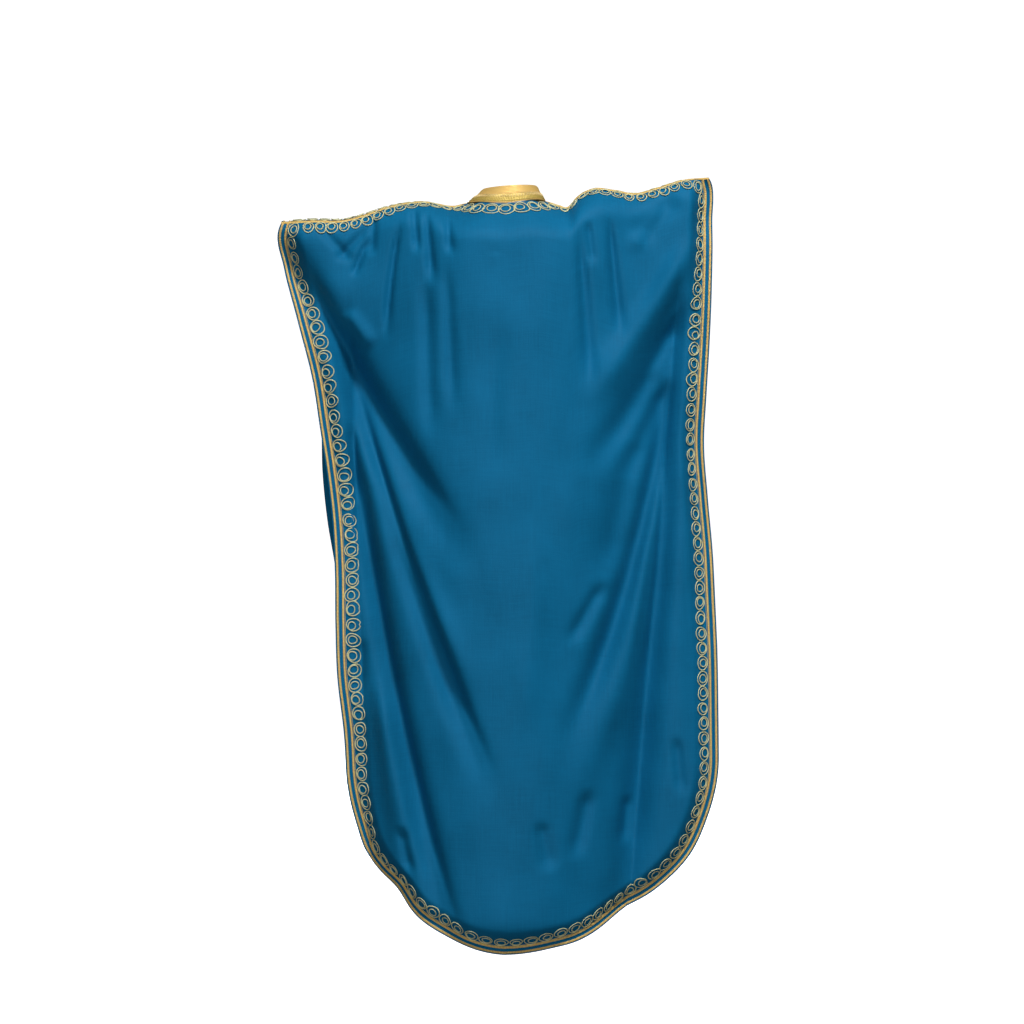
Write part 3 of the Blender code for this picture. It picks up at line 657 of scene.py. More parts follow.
class Nodes:
    """A new material and short ways to add and join its nodes."""

    def __init__(self, name, colour):
        self.material = bpy.data.materials.new(name)
        self.material.use_nodes = True
        self.material.diffuse_color = (*colour[:3], 1)
        self.tree = self.material.node_tree
        self.shader = self.tree.nodes["Principled BSDF"]
        self.shader.inputs["Base Color"].default_value = (*colour[:3], 1)

    def add(self, kind, inputs=None, **settings):
        """A node with its settings; an input is a value, or another node's output."""
        node = self.tree.nodes.new(kind)
        for key, value in settings.items():
            setattr(node, key, value)
        for key, value in (inputs or {}).items():
            if isinstance(value, bpy.types.NodeSocket):
                self.tree.links.new(value, node.inputs[key])
            else:
                node.inputs[key].default_value = value
        return node

    def cloth_places(self, scale=(1, 1, 1)):
        """The piece's own UV map, scaled."""
        source = self.add("ShaderNodeUVMap", uv_map="cloth")
        inputs = {"Vector": source.outputs["UV"], "Scale": scale}
        return self.add("ShaderNodeMapping", inputs).outputs["Vector"]

    def noise(self, vector, scale, detail=2.0, rough=0.5):
        """Perlin noise from 0 to 1."""
        return self.add("ShaderNodeTexNoise", {
            "Vector": vector, "Scale": scale, "Detail": detail, "Roughness": rough}).outputs["Fac"]

    def wave(self, vector, scale, distortion=0.0, direction="X"):
        """Soft bands across one direction."""
        return self.add("ShaderNodeTexWave", {
            "Vector": vector, "Scale": scale, "Distortion": distortion, "Detail": 1.0,
            "Detail Scale": 2.0}, bands_direction=direction).outputs["Fac"]

    def maths(self, operation, a, b):
        """One sum of two values or outputs."""
        return self.add("ShaderNodeMath", {0: a, 1: b}, operation=operation).outputs[0]

    def mix(self, share, a, b):
        """A colour between two."""
        node = self.add("ShaderNodeMix", data_type="RGBA")
        for key, value in (("Factor", share), ("A", a), ("B", b)):
            socket = next(s for s in node.inputs if s.name == key and (key == "Factor" or s.type == "RGBA"))
            if isinstance(value, bpy.types.NodeSocket):
                self.tree.links.new(value, socket)
            else:
                socket.default_value = value
        return next(s for s in node.outputs if s.type == "RGBA")

    def spread(self, value, low, high):
        """A 0 to 1 value stretched so that low becomes 0 and high 1."""
        return self.add("ShaderNodeMapRange", {
            "Value": value, "From Min": low, "From Max": high}).outputs["Result"]

    def bump(self, height, distance, strength=1.0, after=None):
        """Bump of a depth in metres, on top of an earlier one."""
        inputs = {"Height": height, "Distance": distance, "Strength": strength}
        if after is not None:
            inputs["Normal"] = after
        return self.add("ShaderNodeBump", inputs).outputs["Normal"]

    def finish(self, base, rough, normal, metallic=0.0, **constants):
        """Joins colour, roughness and normal to the shader, with the rest as constants on it."""
        self.tree.links.new(base, self.shader.inputs["Base Color"])
        self.tree.links.new(rough, self.shader.inputs["Roughness"])
        self.tree.links.new(normal, self.shader.inputs["Normal"])
        self.shader.inputs["Metallic"].default_value = metallic
        for key, value in constants.items():
            self.shader.inputs[key].default_value = value
        return self.material


def tint(colour, by):
    """A colour made lighter or darker by a factor, as RGBA."""
    return (*(min(c * by, 1.0) for c in colour[:3]), 1)


def crepe(colour):
    """Matt crepe: pebbled twisted threads, faint slubs both ways, slow mottling and a soft sheen."""
    made = Nodes("crepe", colour)
    pebble = made.noise(made.cloth_places((1, 0.7, 1)), 1100, 2.0, 0.6)
    weft = made.noise(made.cloth_places((18, 420, 1)), 1.0, 3.0, 0.6)
    warp = made.noise(made.cloth_places((420, 14, 1)), 1.0, 3.0, 0.6)
    crinkle = made.noise(made.cloth_places((1, 0.55, 1)), 95, 3.0, 0.55)
    mottle = made.noise(made.cloth_places(), 7, 3.0, 0.55)
    slub = made.spread(made.maths("ADD", weft, warp), 0.75, 1.25)
    base = made.mix(made.spread(mottle, 0.3, 0.7), tint(colour, 0.84), tint(colour, 1.08))
    base = made.mix(made.maths("MULTIPLY", slub, 0.42), base, tint(colour, 1.30))
    base = made.mix(made.maths("MULTIPLY", made.spread(pebble, 0.35, 0.65), 0.22), base, tint(colour, 0.72))
    normal = made.bump(crinkle, 0.0010, 0.35)
    normal = made.bump(slub, 0.0002, 0.5, normal)
    normal = made.bump(pebble, 0.00025, 0.8, normal)
    rough = made.spread(pebble, -1.2, 1.6)
    return made.finish(base, rough, normal, **{
        "Sheen Weight": 0.06, "Sheen Roughness": 0.45, "Sheen Tint": tint(colour, 2.4),
        "Specular IOR Level": 0.07})


def cord_gold(colour, dark):
    """Plaited metal thread: slanting plies either side of the middle, with painted shade in the grooves
    between them, so their crowns show lighter, and random brighter worn patches.
    """
    made = Nodes("cord_gold", colour)
    left = made.wave(made.cloth_places((1 / CORD_LAY, 0.7 / CORD_LAY, 1)), 0.32)
    right = made.wave(made.cloth_places((1 / CORD_LAY, -0.7 / CORD_LAY, 1)), 0.32)
    ply = made.maths("MULTIPLY", left, right)
    age = made.noise(made.cloth_places(), 160, 3.0, 0.6)
    # painted shade: the grooves between the plies are mixed towards the darker cord shade, and the crowns
    # keep the cord's colour
    base = made.mix(made.spread(ply, 0.0, 0.7), dark, (*colour[:3], 1))
    base = made.mix(made.maths("MULTIPLY", made.spread(age, 0.4, 0.8), 0.45), base, tint(colour, 1.25))
    normal = made.bump(ply, 0.0005, 0.8)
    return made.finish(base, made.spread(age, -0.6, 1.6), normal, 0.15)


def ring_thread(colour, dark):
    """Silvery gold cord: two plies, one in shade, twisted along its length."""
    made = Nodes("ring_thread", colour)
    twist = made.wave(made.cloth_places((26, 1.0, 1)), 0.5, 0.4)
    tone = made.noise(made.cloth_places((3, 1, 1)), 2.5, 2.0, 0.6)
    base = made.mix(made.spread(twist, 0.15, 0.75), dark, (*colour[:3], 1))
    base = made.mix(made.maths("MULTIPLY", made.spread(tone, 0.35, 0.65), 0.55), base, tint(colour, 1.3))
    return made.finish(base, made.spread(tone, -0.8, 1.8), made.bump(twist, 0.0004, 0.7), 0.15)


def satin(colour, dark):
    """Gold satin brocade: long floats across, fine level lines and a low tone-on-tone figure."""
    made = Nodes("satin", colour)
    floats = made.noise(made.cloth_places((40, 1500, 1)), 1.0, 2.0, 0.6)
    lines = made.wave(made.cloth_places((1, 1, 1)), 95, 0.6, direction="Y")
    figure = made.noise(made.cloth_places((1, 1.3, 1)), 110, 3.0, 0.6)
    # painted shade: streaks of floats are mixed towards the darker satin shade; the same darker colour also
    # draws the tone-on-tone figure below
    base = made.mix(made.spread(floats, 0.3, 0.7), dark, (*colour[:3], 1))
    base = made.mix(made.maths("MULTIPLY", lines, 0.35), base, tint(colour, 1.25))
    base = made.mix(made.maths("MULTIPLY", made.spread(figure, 0.45, 0.7), 0.35), base, dark)
    normal = made.bump(figure, 0.0003, 0.5)
    normal = made.bump(made.maths("ADD", floats, lines), 0.00015, 0.6, normal)
    return made.finish(base, made.spread(figure, -0.5, 2.0), normal, 0.30, **{
        "Sheen Weight": 0.2, "Sheen Tint": tint(colour, 1.3), "Anisotropic": 0.4})


def band_weave(colour, dark):
    """Metal braid round the collar's foot: close knobbly bars with painted shade between them."""
    made = Nodes("band_weave", colour)
    bars = made.wave(made.cloth_places(), 110, 0.8)
    levels = made.noise(made.cloth_places((1, 2.2, 1)), 160, 3.0, 0.6)
    knots = made.maths("MULTIPLY", bars, levels)
    grit = made.noise(made.cloth_places(), 520, 3.0, 0.65)
    # painted shade: the ground between the knots is mixed towards the darker band shade
    base = made.mix(made.spread(knots, 0.05, 0.7), dark, (*colour[:3], 1))
    base = made.mix(made.maths("MULTIPLY", made.spread(grit, 0.45, 0.75), 0.6), base, tint(colour, 1.35))
    normal = made.bump(knots, 0.0007, 0.8)
    normal = made.bump(grit, 0.0004, 0.7, normal)
    return made.finish(base, made.spread(grit, -0.4, 1.9), normal, 0.40)


def thread(name, colour):
    """Plain sewing thread with a fine twist."""
    made = Nodes(name, colour)
    grain = made.noise(made.add("ShaderNodeTexCoord").outputs["Object"], 2600, 2.0, 0.5)
    base = made.mix(made.spread(grain, 0.3, 0.7), tint(colour, 0.75), tint(colour, 1.15))
    return made.finish(base, made.spread(grain, -0.8, 1.5), made.bump(grain, 0.0002, 0.5))


def once(name, make, *values):
    """The material of that name, made the first time that it is asked for."""
    found = bpy.data.materials.get(name)
    return found or make(*values)


# ---------------------------------------------------------------- settings


def colour_prop(name, text, value):
    return FloatVectorProperty(name=name, description=text, default=value, size=3,
                               subtype="COLOR", min=0, max=1)


def length_prop(name, text, value):
    return FloatProperty(name=name, description=text, default=value, unit="LENGTH", precision=4)


class KaftanCloth(bpy.types.PropertyGroup):
    wall: length_prop("Wall", "Thickness of the crepe", 0.0010)
    colour: colour_prop("Crepe", "Colour of the crepe", (0.0035, 0.135, 0.285))
    stitch_length: length_prop("Stitch", "Length of a seam stitch", 0.0028)
    stitch_step: length_prop("Stitch step", "From one seam stitch to the next", 0.0040)
    thread_radius: length_prop("Thread", "Radius of the sewing thread", 0.00028)
    thread_colour: colour_prop("Thread", "Colour of the sewing thread", (0.006, 0.080, 0.160))


class KaftanTrim(bpy.types.PropertyGroup):
    cord_height: length_prop("Cord height", "Height of the gold cords over the cloth", 0.0017)
    cord_step: length_prop("Cord step", "From one section of a cord to the next", 0.0024)
    cord_colour: colour_prop("Cord", "Colour of the gold cord", (0.930, 0.640, 0.210))
    cord_painted_shade: colour_prop("Cord shade", "Colour between its plies", (0.640, 0.390, 0.100))
    ring_pitch: length_prop("Ring pitch", "From one ring to the next along an edge", 0.0282)
    ring_centre: length_prop("Ring line", "How far in from the edge the rings are centred", 0.0330)
    ring_outer: length_prop("Outer ring", "Radius of the outer ring", 0.0126)
    ring_inner: length_prop("Inner ring", "Radius of the inner ring", 0.0076)
    ring_shift: length_prop("Ring shift", "How far the inner ring sits off the middle", 0.0020)
    ring_half: length_prop("Ring cord", "Half the width of the ring cord", 0.0011)
    ring_rise: length_prop("Ring height", "Half the height of the ring cord", 0.0009)
    ring_sides: IntProperty(name="Ring corners", description="Sections round a ring", default=20, min=8)
    ring_colour: colour_prop("Rings", "Colour of the ring cord", (0.800, 0.790, 0.480))
    ring_dark: colour_prop("Ring shade", "Colour between its plies", (0.430, 0.400, 0.170))
    shoulder_centre: length_prop("Shoulder line", "How far down the shoulder rings are centred", 0.0180)
    shoulder_pitch: length_prop("Shoulder pitch", "From one shoulder ring to the next", 0.0225)
    neck_growth: FloatProperty(name="Neck growth", description="How much larger the neck rings are",
                               default=0.15)


class KaftanCollar(bpy.types.PropertyGroup):
    wall: length_prop("Wall", "Thickness of the stiffened collar", 0.0016)
    top_side: length_prop("Top side", "Half the width of the collar's top", 0.054)
    top_back: length_prop("Top back", "How far back the collar's top reaches", 0.048)
    top_front: length_prop("Top front", "How far forward the collar's top reaches", 0.060)
    top_shift: length_prop("Top shift", "How far the top leans to the wearer's right", -0.006)
    back_height: length_prop("Back height", "Height of the top at the back", 0.0265)
    tilt: FloatProperty(name="Tilt", description="Rise of the top towards the wearer's right", default=0.07)
    front_height: length_prop("Front height", "Height of the top at the front", 0.008)
    colour: colour_prop("Satin", "Colour of the collar's satin", (0.900, 0.590, 0.190))
    dark: colour_prop("Satin shade", "Colour of its shaded floats", (0.760, 0.450, 0.110))
    band_colour: colour_prop("Band", "Colour of the collar's braid", (0.760, 0.580, 0.160))
    band_painted_shade: colour_prop("Band shade", "Colour between its knots", (0.500, 0.340, 0.070))
    bar_colour: colour_prop("Bars", "Colour of the upright stitches", (0.820, 0.640, 0.330))


class KaftanStage(bpy.types.PropertyGroup):
    floor_drop: length_prop("Floor", "How far the floor lies below the shoulders", 1.470)
    reach: length_prop("Reach", "Radius of the backdrop, and half the width of the floor", 12.000)
    distance: length_prop("Camera", "How far behind the garment the camera stands", 4.500)
    height: length_prop("Camera height", "Height of the camera", -0.579)
    sideways: length_prop("Camera side", "How far sideways the camera stands", -0.011)
    lens: FloatProperty(name="Lens", description="Focal length", default=84.4, unit="CAMERA")
    floor_colour: colour_prop("Floor colour", "Colour of the floor and backdrop", (0.80, 0.80, 0.80))
    glow: FloatProperty(name="Backdrop light", description="Light that floor and backdrop give off",
                        default=1.0)
    key: FloatProperty(name="Key light", description="Power of the main light", default=248, unit="POWER")
    fill: FloatProperty(name="Fill light", description="Power of the second light", default=56, unit="POWER")
    front: FloatProperty(name="Front light", description="Power of the light before the garment", default=170,
                         unit="POWER")
    world: FloatProperty(name="Room light", description="Strength of the light all round", default=0.06)


# ---------------------------------------------------------------- pieces


def panel_grid(side):
    """A grid of (x, t) over a panel. Down to where the bottom rounds, rows run straight across and
    columns are closer round the neck and at the edges; below, a square is laid on the half disc by
    (p sqrt(1 - q^2 / 2), q sqrt(1 - p^2 / 2)), so that its sides and foot follow the edge."""
    beside = (COLUMNS - NECK_COLUMNS) // 2
    left, right = float(edge_of(side, 0.0, 1.0)), float(edge_of(side, 0.0, -1.0))
    ring = -NECK_SIDE * np.cos(np.linspace(0, math.pi, NECK_COLUMNS + 1))
    first = np.concatenate([np.linspace(-right, -NECK_SIDE, beside + 1)[:-1], ring,
                            np.linspace(NECK_SIDE, left, beside + 1)[1:]])
    top = np.where(first > 0, first / left, first / right)
    even = np.linspace(-1, 1, COLUMNS + 1)
    even = even * (1 + EDGE_CLOSER * (1 - even * even))
    middle = COLUMNS // 2
    top, even, first = (np.insert(a, middle, a[middle]) for a in (top, even, first))
    half = np.where(np.arange(COLUMNS + 2) <= middle, -1.0, 1.0)

    down = np.linspace(0, ROUND_FROM, UPPER_ROWS + 1)[:, None]
    settle = ramp(down, *ROWS_SETTLE)
    p = top * (1 - settle) + even * settle
    begin = neck_top(side, first)
    t = down + begin * (1 - np.minimum(down / SEAM_HELD, 1))
    q = np.linspace(0, 1, ROUND_ROWS + 1)[1:, None]
    disc_p, disc_q = even * np.sqrt(1 - q * q / 2), q * np.sqrt(1 - even * even / 2)
    p = np.concatenate([p, np.sign(disc_p) * np.abs(disc_p) ** (2 / ROUND_POWER)])
    t = np.concatenate([t, ROUND_FROM + (LENGTH - ROUND_FROM) * disc_q ** (2 / ROUND_POWER)])
    x = p * np.where(half > 0, read(EDGES, f"{side}_left", t), read(EDGES, f"{side}_right", t))

    rows, columns = x.shape
    index = np.arange(rows * columns).reshape(rows, columns)
    closed = np.ones(rows, bool)
    if side == "front":
        end = neck_top(side, 0.0) + SLIT_LENGTH
        closed = t[:, middle] > end
        open_by = SLIT_HALF * np.sqrt(np.clip((end - t) / SLIT_LENGTH, 0, 1))
        x = x + half * open_by * np.exp(-np.abs(x) / SLIT_FADE)
    index[closed, middle + 1] = index[closed, middle]
    quads = np.stack([index[:-1, :-1], index[:-1, 1:], index[1:, 1:], index[1:, :-1]], axis=-1)
    quads = np.concatenate([quads[:, :middle], quads[:, middle + 1:]], axis=1).reshape(-1, 4)
    return x, t, quads


class KAFTAN_OT_panels(bpy.types.Operator):
    """Make the back and front panels of creased crepe"""

    bl_idname = "kaftan.panels"
    bl_label = "Panels"

    def execute(self, context):
        cloth = context.scene.kaftan_cloth
        material = once("crepe", crepe, cloth.colour)
        for side in ("back", "front"):
            x, t, quads = panel_grid(side)
            if side == "back":
                quads = quads[:, ::-1]
            points = worn(side, x, t)
            obj = link(f"{side}_cloth", points, [quads], material, np.stack([x, t], axis=-1))
            wall(obj, cloth.wall)
            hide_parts(f"{side}_panel")
        return {"FINISHED"}


class KAFTAN_OT_cords(bpy.types.Operator):
    """Lay the rolled hem, the two gold cords and the thread line along each panel's edge"""

    bl_idname = "kaftan.cords"
    bl_label = "Edge Cords"

    def execute(self, context):
        cloth, trim = context.scene.kaftan_cloth, context.scene.kaftan_trim
        gold = once("cord_gold", cord_gold, trim.cord_colour, (*trim.cord_painted_shade, 1))
        teal = once("crepe", crepe, cloth.colour)
        for side in ("back", "front"):
            lane = Lane(side, outline(side), trim.ring_centre, ends_held=True)
            runs = np.linspace(0, lane.length, round(lane.length / trim.cord_step))
            roll = strip(f"{side}_hem_roll", side, lane, runs, HEM_ROLL, HEM_ROLL_HEIGHT, teal, 1)
            outer = strip(f"{side}_outer_cord", side, lane, runs, OUTER_CORD, trim.cord_height, gold)
            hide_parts(f"{side}_braid_outer")
            inner = strip(f"{side}_inner_cord", side, lane, runs, INNER_CORD, trim.cord_height, gold)
            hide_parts(f"{side}_braid_inner")
            line = strip(f"{side}_thread_line", side, lane, runs, THREAD_LINE, THREAD_HEIGHT, gold, 1)
        return {"FINISHED"}


def ring_places(side, lane, runs, centre, squeeze, grow, trim, seed):
    """Places and normals round the double rings: r = R (1 + a sin(2u + f) + b sin(3u + g)), with
    the inner ring off the middle, towards the edge."""
    random = np.random.default_rng(seed)
    count = len(runs)
    u = np.arange(trim.ring_sides) * math.tau / trim.ring_sides
    places, normals = [], []
    for radius, shift in ((trim.ring_outer, 0.0), (trim.ring_inner, trim.ring_shift)):
        phase, other = random.uniform(0, math.tau, (2, count, 1))
        size = random.uniform(*RING_SIZES, (count, 1)) * grow[:, None]
        wobble = 1 + RING_WAVES[0] * np.sin(2 * u + phase) + RING_WAVES[1] * np.sin(3 * u + other)
        aside = random.normal(0, RING_SPREAD[0], (count, 1)) + shift * 0.4
        inward = random.normal(0, RING_SPREAD[1], (count, 1)) - shift
        r = radius * size * wobble
        run = runs[:, None] + aside + r * np.cos(u) * squeeze[:, None]
        place, _, _, normal = surface(side, *lane.place(run, centre + inward + r * np.sin(u)))
        lift = SOLID_WALL / 2 + GAP * 1.5 + trim.ring_rise * (1 + 0.5 * np.cos(u + phase))
        places.append(place + normal * lift[..., None])
        normals.append(normal)
    return np.concatenate(places), np.concatenate(normals)


class KAFTAN_OT_rings(bpy.types.Operator):
    """Couch the row of double rings inside the cords and beside the shoulder and neck lines"""

    bl_idname = "kaftan.rings"
    bl_label = "Ring Embroidery"

    def execute(self, context):
        trim = context.scene.kaftan_trim
        material = once("ring_thread", ring_thread, trim.ring_colour, (*trim.ring_dark, 1))
        for seed, side in enumerate(("back", "front")):
            lane = Lane(side, outline(side), trim.ring_centre, ends_held=True)
            clear = trim.ring_outer * RING_CLEAR
            count = round((lane.length - 2 * clear) / trim.ring_pitch)
            runs = np.linspace(clear, lane.length - clear, count + 1)
            same = np.ones(len(runs))
            places, normals = ring_places(side, lane, runs, trim.ring_centre, same, same, trim, 11 + seed)
            rings = loops(f"{side}_rings", places, normals, trim.ring_half, trim.ring_rise, material)

            # the row closes up where the shoulders are gathered, and is full round the neck
            lane = Lane(side, neck_line(side), trim.shoulder_centre, ends_held=False)
            x = lane.rows[round(trim.shoulder_centre / INSET_STEP)][:, 0]
            full = np.exp(-((x / (NECK_SIDE * 1.1)) ** 4))
            pitch = trim.shoulder_pitch + (trim.ring_pitch - trim.shoulder_pitch) * full
            tally = np.concatenate([[0], np.cumsum(np.diff(lane.runs) / pitch[1:])])
            clear = trim.ring_centre + trim.ring_outer * SHOULDER_CLEAR
            start, end = np.interp((clear, lane.length - clear), lane.runs, tally)
            at = np.linspace(start, end, round(end - start) + 1)
            runs = np.interp(at, tally, lane.runs)
            squeeze = np.interp(runs, lane.runs, pitch) / trim.ring_pitch
            grow = 1 + trim.neck_growth * np.interp(runs, lane.runs, full)
            places, normals = ring_places(side, lane, runs, trim.shoulder_centre, squeeze, grow, trim,
                                          21 + seed)
            rings = loops(f"{side}_shoulder_rings", places, normals, trim.ring_half, trim.ring_rise, material)
        return {"FINISHED"}


def shoulder_cord(name, sign, trim, material):
    """The cord over a shoulder seam: a rounded section from the back strip over the seam to the front
    strip, carried along the shoulder line."""
    inner = NECK_SIDE + GAP
    outer = float(edge_of("back", 0.0, sign))
    x = sign * np.linspace(inner, outer, round((outer - inner) / trim.cord_step))
    way = np.linspace(-1, 1, 9)
    lift = trim.cord_height * (1 - way**4) * (1 - SHOULDER_DENT * (0.5 + 0.5 * np.cos(math.tau * way)))
    lift = np.clip(lift, trim.cord_height * CORD_FOOT, None)
    top, under = [], []
    for w, up in zip(way, lift):
        side = "back" if w >= 0 else "front"
        t = np.full_like(x, abs(w) * SHOULDER_CORD_HALF)
        place, _, _, normal = surface(side, x, t)
        top.append(place + normal * (SOLID_WALL / 2 + GAP / 2 + up))
        under.append(place + normal * (SOLID_WALL / 2 + GAP / 2))
    points = np.stack(top + under[::-1], axis=1)
    round_ = np.concatenate([way, way[::-1]]) * SHOULDER_CORD_HALF
    return tube(name, points, material, np.stack(np.broadcast_arrays(x[:, None], round_[None]), axis=-1))


class KAFTAN_OT_shoulders(bpy.types.Operator):
    """Lay the gold cord over each shoulder seam"""

    bl_idname = "kaftan.shoulders"
    bl_label = "Shoulder Cords"

    def execute(self, context):
        trim = context.scene.kaftan_trim
        gold = once("cord_gold", cord_gold, trim.cord_colour, (*trim.cord_painted_shade, 1))
        for name, sign in (("left", 1), ("right", -1)):
            cord = shoulder_cord(f"shoulder_cord_{name}", sign, trim, gold)
            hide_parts(f"shoulder_braid_{name}")
        return {"FINISHED"}


def collar_points(collar, around, up):
    """Place on the collar's middle: around from one front edge to the other, up from 0 to 1. The foot
    follows the neckline's ellipse, the top a smaller one, and the lean is up^COLLAR_LEAN."""
    side, deep = np.sin(around), -np.cos(around)
    base_y = np.where(deep > 0, NECK_DEPTH["back"], NECK_DEPTH["front"]) * deep
    reach = np.where(deep > 0, BODY_REACH["back"], BODY_REACH["front"])
    fall = BODY_FALL * (1 - np.sqrt(1 - (base_y / reach) ** 2))
    base_x = NECK_SIDE * side
    base_z = read(CREST, "height", base_x, "x") - fall + SOLID_WALL / 2 + GAP + COLLAR_FOOT
    top_x = collar.top_side * side + collar.top_shift
    top_y = np.where(deep > 0, collar.top_back, collar.top_front) * deep
    top_z = collar.front_height + (collar.back_height - collar.front_height) * ramp(deep, -1, 0.6)
    top_z = top_z - collar.tilt * top_x
    lean = up**COLLAR_LEAN
    x = base_x + (top_x - base_x) * lean
    y = base_y + (top_y - base_y) * lean
    return np.stack([x, y, base_z + (top_z - base_z) * up], axis=-1)


def collar_surface(collar, around, up):
    """Places on the collar with the unit tangents round and up, and the unit normal outwards."""
    low = np.maximum(up - NUDGE, 0)
    place = collar_points(collar, around, up)
    along = unit(collar_points(collar, around + NUDGE, up) - collar_points(collar, around - NUDGE, up))
    rise = unit(collar_points(collar, around, up + NUDGE) - collar_points(collar, around, low))
    return place, along, rise, unit(np.cross(along, rise))


class KAFTAN_OT_collar(bpy.types.Operator):
    """Make the satin stand collar, the braid round its foot and its rows of stitches"""

    bl_idname = "kaftan.collar"
    bl_label = "Collar"

    def execute(self, context):
        collar, trim = context.scene.kaftan_collar, context.scene.kaftan_trim
        around = np.linspace(COLLAR_OPENING, math.tau - COLLAR_OPENING, 181)
        far = np.concatenate([[0], np.cumsum(np.linalg.norm(
            np.diff(collar_points(collar, around, 0.5), axis=0), axis=1))])
        up = np.linspace(0, 1, 25)
        turn, rise = np.meshgrid(around, up)
        place = collar_points(collar, turn, rise)
        uv = np.stack(np.broadcast_arrays(far[None], rise * COLLAR_TALL), axis=-1)
        satin_gold = once("satin", satin, collar.colour, (*collar.dark, 1))
        shell = link("collar_cloth", place, [grid_faces(*turn.shape)[:, ::-1]], satin_gold, uv)
        wall(shell, collar.wall)
        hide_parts("collar")

        weave = once("band_weave", band_weave, collar.band_colour, (*collar.band_painted_shade, 1))
        up = np.linspace(*BAND, 13)
        turn, rise = np.meshgrid(around, up)
        place, _, _, normal = collar_surface(collar, turn, rise)
        relief = BAND_RISE * (1 + np.sin(np.linspace(0, math.pi, len(up))) ** 0.5)
        relief = relief[:, None] + BAND_KNOTS * np.sin(turn * 70) * np.sin(rise * 60)
        inner = place + normal * (collar.wall / 2 + GAP / 2)
        outer = inner + normal * relief[..., None]
        points = np.concatenate([outer, inner[::-1]])
        level = np.concatenate([rise, rise[::-1]]) * COLLAR_TALL
        uv = np.stack(np.broadcast_arrays(far[None], level), axis=-1)
        rows, columns = points.shape[:2]
        ends = [(np.arange(rows) * columns)[None], (np.arange(rows)[::-1] * columns + columns - 1)[None]]
        faces = outward(points, [grid_faces(rows, columns, wrap_rows=True), *ends])
        band = link("collar_band", points, faces, weave, uv)
        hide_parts("collar_braid")

        pale = once("bar_thread", thread, "bar_thread", collar.bar_colour)
        for name, levels, step, up_right, lift, size in (
                ("collar_bars", (BAR_LEVEL,), BAR_STEP, True, 0.0013, BAR_SIZE),
                ("collar_stitches", SEWN_LEVELS, SEWN_STEP, False, 0.0001, SEWN_SIZE)):
            turn = np.interp(np.linspace(0, far[-1], round(far[-1] / step))[1:-1], far, around)
            rows = [collar_surface(collar, turn, np.full_like(turn, level)) for level in levels]
            place, along, rise, normal = (np.concatenate(parts) for parts in zip(*rows))
            sewn = stitches(name, place + normal * (collar.wall / 2 + lift), rise if up_right else along,
                            normal, *size, pale)
        return {"FINISHED"}


class KAFTAN_OT_stitches(bpy.types.Operator):
    """Sew the side seams and the edges of the front slit"""

    bl_idname = "kaftan.stitches"
    bl_label = "Seam Stitches"

    def execute(self, context):
        cloth = context.scene.kaftan_cloth
        material = once("seam_thread", thread, "seam_thread", cloth.thread_colour)
        for side in ("back", "front"):
            found = []
            t = np.arange(SEAM_HELD, SEAM_TO, cloth.stitch_step)
            for sign in (1.0, -1.0):
                x = sign * seam_of(t, sign)
                keep = edge_room(side, x, t) > SEAM_EDGE
                found.append((x[keep], t[keep]))
            if side == "front":
                slit = np.arange(0.006, SLIT_LENGTH - 0.004, cloth.stitch_step) + neck_top(side, 0.0)
                found.extend((np.full_like(slit, sign * SLIT_SEAM), slit) for sign in (1.0, -1.0))
            x, t = (np.concatenate(parts) for parts in zip(*found))
            place, _, down, normal = surface(side, x, t)
            lift = cloth.wall / 2 + cloth.thread_radius * 0.4
            sewn = stitches(f"{side}_seam_stitches", place + normal * lift, unit(down), normal,
                            cloth.stitch_length, cloth.thread_radius, material)
        return {"FINISHED"}


class KAFTAN_OT_declare(bpy.types.Operator):
    """List, for each panel, the names of the pieces sewn on it; the list is not kept or used"""

    bl_idname = "kaftan.declare"
    bl_label = "Declare Sheets"

    def execute(self, context):
        for side in ("back", "front"):
            on = [f"{side}_{n}" for n in ("hem_roll", "outer_cord", "inner_cord", "thread_line", "rings",
                                          "shoulder_rings", "seam_stitches")]
            if side == "back":
                on += ["shoulder_cord_left", "shoulder_cord_right"]
        return {"FINISHED"}


def area_light(name, place, aim, power, size):
    """A square area light that faces a point."""
    lamp = bpy.data.lights.new(name, "AREA")
    lamp.energy = power
    lamp.size = size
    obj = bpy.data.objects.new(name, lamp)
    bpy.context.scene.collection.objects.link(obj)
    obj.location = place
    obj.rotation_euler = (Vector(place) - Vector(aim)).to_track_quat("Z", "Y").to_euler()
    return obj


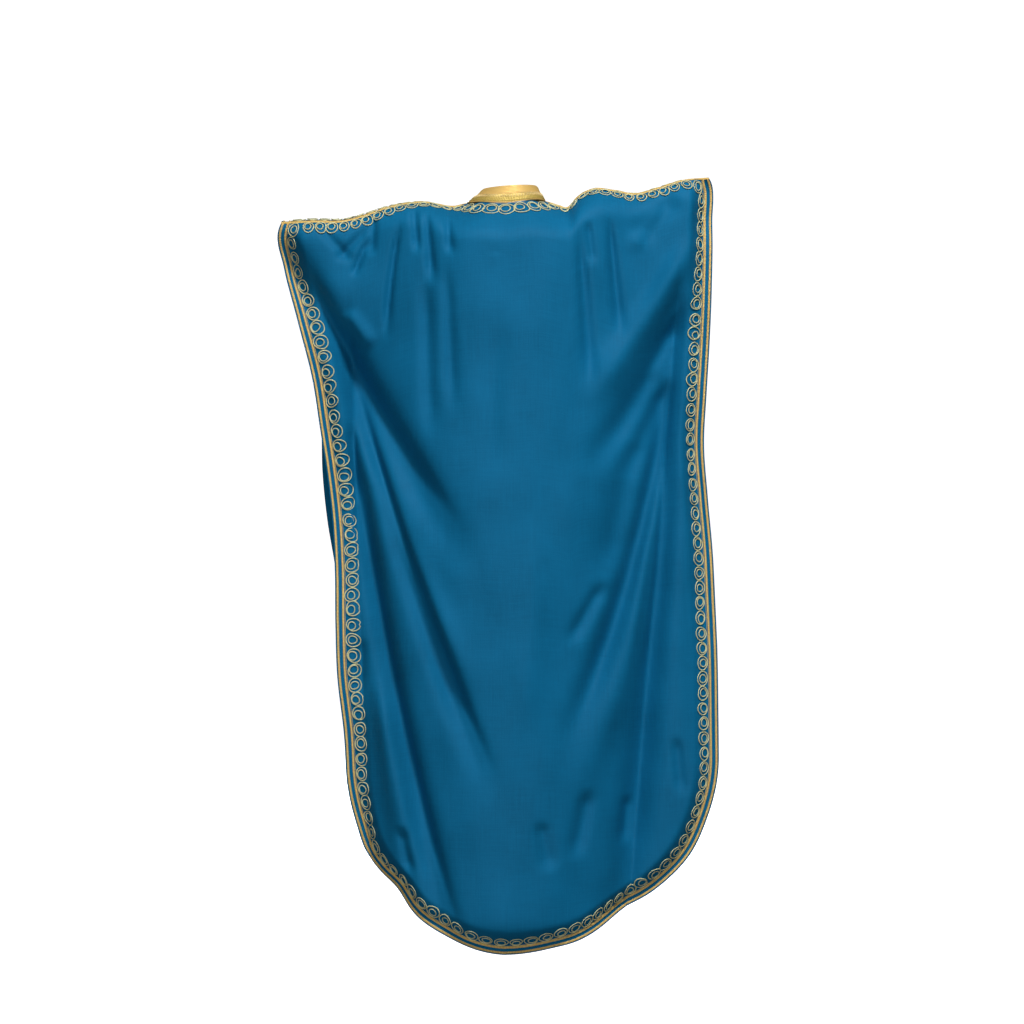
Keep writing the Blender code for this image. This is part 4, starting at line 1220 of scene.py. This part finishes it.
class KAFTAN_OT_stage(bpy.types.Operator):
    """Set out the pale floor and the backdrop all round, the lights and the camera"""

    bl_idname = "kaftan.stage"
    bl_label = "Stage"

    def execute(self, context):
        stage = context.scene.kaftan_stage
        turn, rise = np.meshgrid(np.linspace(0, math.tau, 49), np.linspace(0, 0.49 * math.pi, 13))
        dome = stage.reach * np.stack([np.cos(turn) * np.cos(rise), np.sin(turn) * np.cos(rise),
                                       np.sin(rise)], axis=-1)
        y, x = np.meshgrid(*[np.linspace(-stage.reach, stage.reach, 9)] * 2)
        flat = np.stack([x, y, np.zeros_like(x)], axis=-1)
        for name, points in (("backdrop", dome), ("floor", flat)):
            made = Nodes(name, stage.floor_colour)
            grain = made.noise(made.add("ShaderNodeTexCoord").outputs["Object"], 40)
            pale = made.mix(grain, tint(stage.floor_colour, 0.985), tint(stage.floor_colour, 1.0))
            paper = made.finish(pale, made.spread(grain, -3.0, 1.2), made.bump(grain, 0.0002, 0.2), **{
                "Emission Color": (1, 1, 1, 1), "Emission Strength": stage.glow})
            piece = link(name, points - (0, 0, stage.floor_drop), [grid_faces(*points.shape[:2])], paper)
            piece.visible_diffuse = piece.visible_glossy = piece.visible_shadow = False
            piece.parent = None
            del piece["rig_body"]
        area_light("key", (-0.9, 3.2, 3.6), (0, 0, -0.6), stage.key, 0.9)
        area_light("fill", (0.4, 4.2, -1.2), (0, 0, -0.9), stage.fill, 2.4)
        area_light("front", (1.6, -4.0, 0.3), (0, 0, -0.6), stage.front, 1.2)
        context.scene.view_settings.view_transform = "Standard"
        world = bpy.data.worlds.new("room")
        world.use_nodes = True
        world.node_tree.nodes["Background"].inputs["Color"].default_value = (1, 1, 1, 1)
        world.node_tree.nodes["Background"].inputs["Strength"].default_value = stage.world
        context.scene.world = world
        camera = bpy.data.objects.new("camera", bpy.data.cameras.new("camera"))
        camera.data.lens = stage.lens
        camera.location = (stage.sideways, stage.distance, stage.height)
        camera.rotation_euler = (math.pi / 2, 0, math.pi)
        context.scene.collection.objects.link(camera)
        context.scene.camera = camera
        return {"FINISHED"}


OPERATORS = (KAFTAN_OT_stage, KAFTAN_OT_panels, KAFTAN_OT_cords, KAFTAN_OT_rings, KAFTAN_OT_shoulders,
             KAFTAN_OT_collar, KAFTAN_OT_stitches, KAFTAN_OT_declare)


class KAFTAN_PT_sidebar(bpy.types.Panel):
    """Lists the kaftan's pieces"""

    bl_idname = "KAFTAN_PT_sidebar"
    bl_label = "Kaftan"
    bl_space_type = "VIEW_3D"
    bl_region_type = "UI"
    bl_category = "Kaftan"

    def draw(self, context):
        for operator in OPERATORS:
            self.layout.operator(operator.bl_idname)
        for group in GROUPS:
            settings = getattr(context.scene, group)
            box = self.layout.box()
            for name in settings.__annotations__:
                box.prop(settings, name)


GROUPS = {"kaftan_cloth": KaftanCloth, "kaftan_trim": KaftanTrim, "kaftan_collar": KaftanCollar,
          "kaftan_stage": KaftanStage}


def register():
    """Adds the settings, the operators and the panel to Blender."""
    for name, group in GROUPS.items():
        bpy.utils.register_class(group)
        setattr(bpy.types.Scene, name, PointerProperty(type=group))
    for cls in (*OPERATORS, KAFTAN_PT_sidebar):
        bpy.utils.register_class(cls)


def unregister():
    """Takes them out again."""
    for cls in reversed((*OPERATORS, KAFTAN_PT_sidebar)):
        bpy.utils.unregister_class(cls)
    for name, group in GROUPS.items():
        delattr(bpy.types.Scene, name)
        bpy.utils.unregister_class(group)


def main():
    """Registers everything and makes the pieces in order."""
    register()
    for operator in OPERATORS:
        family, name = operator.bl_idname.split(".")
        getattr(getattr(bpy.ops, family), name)()


if __name__ == "__main__":
    main()
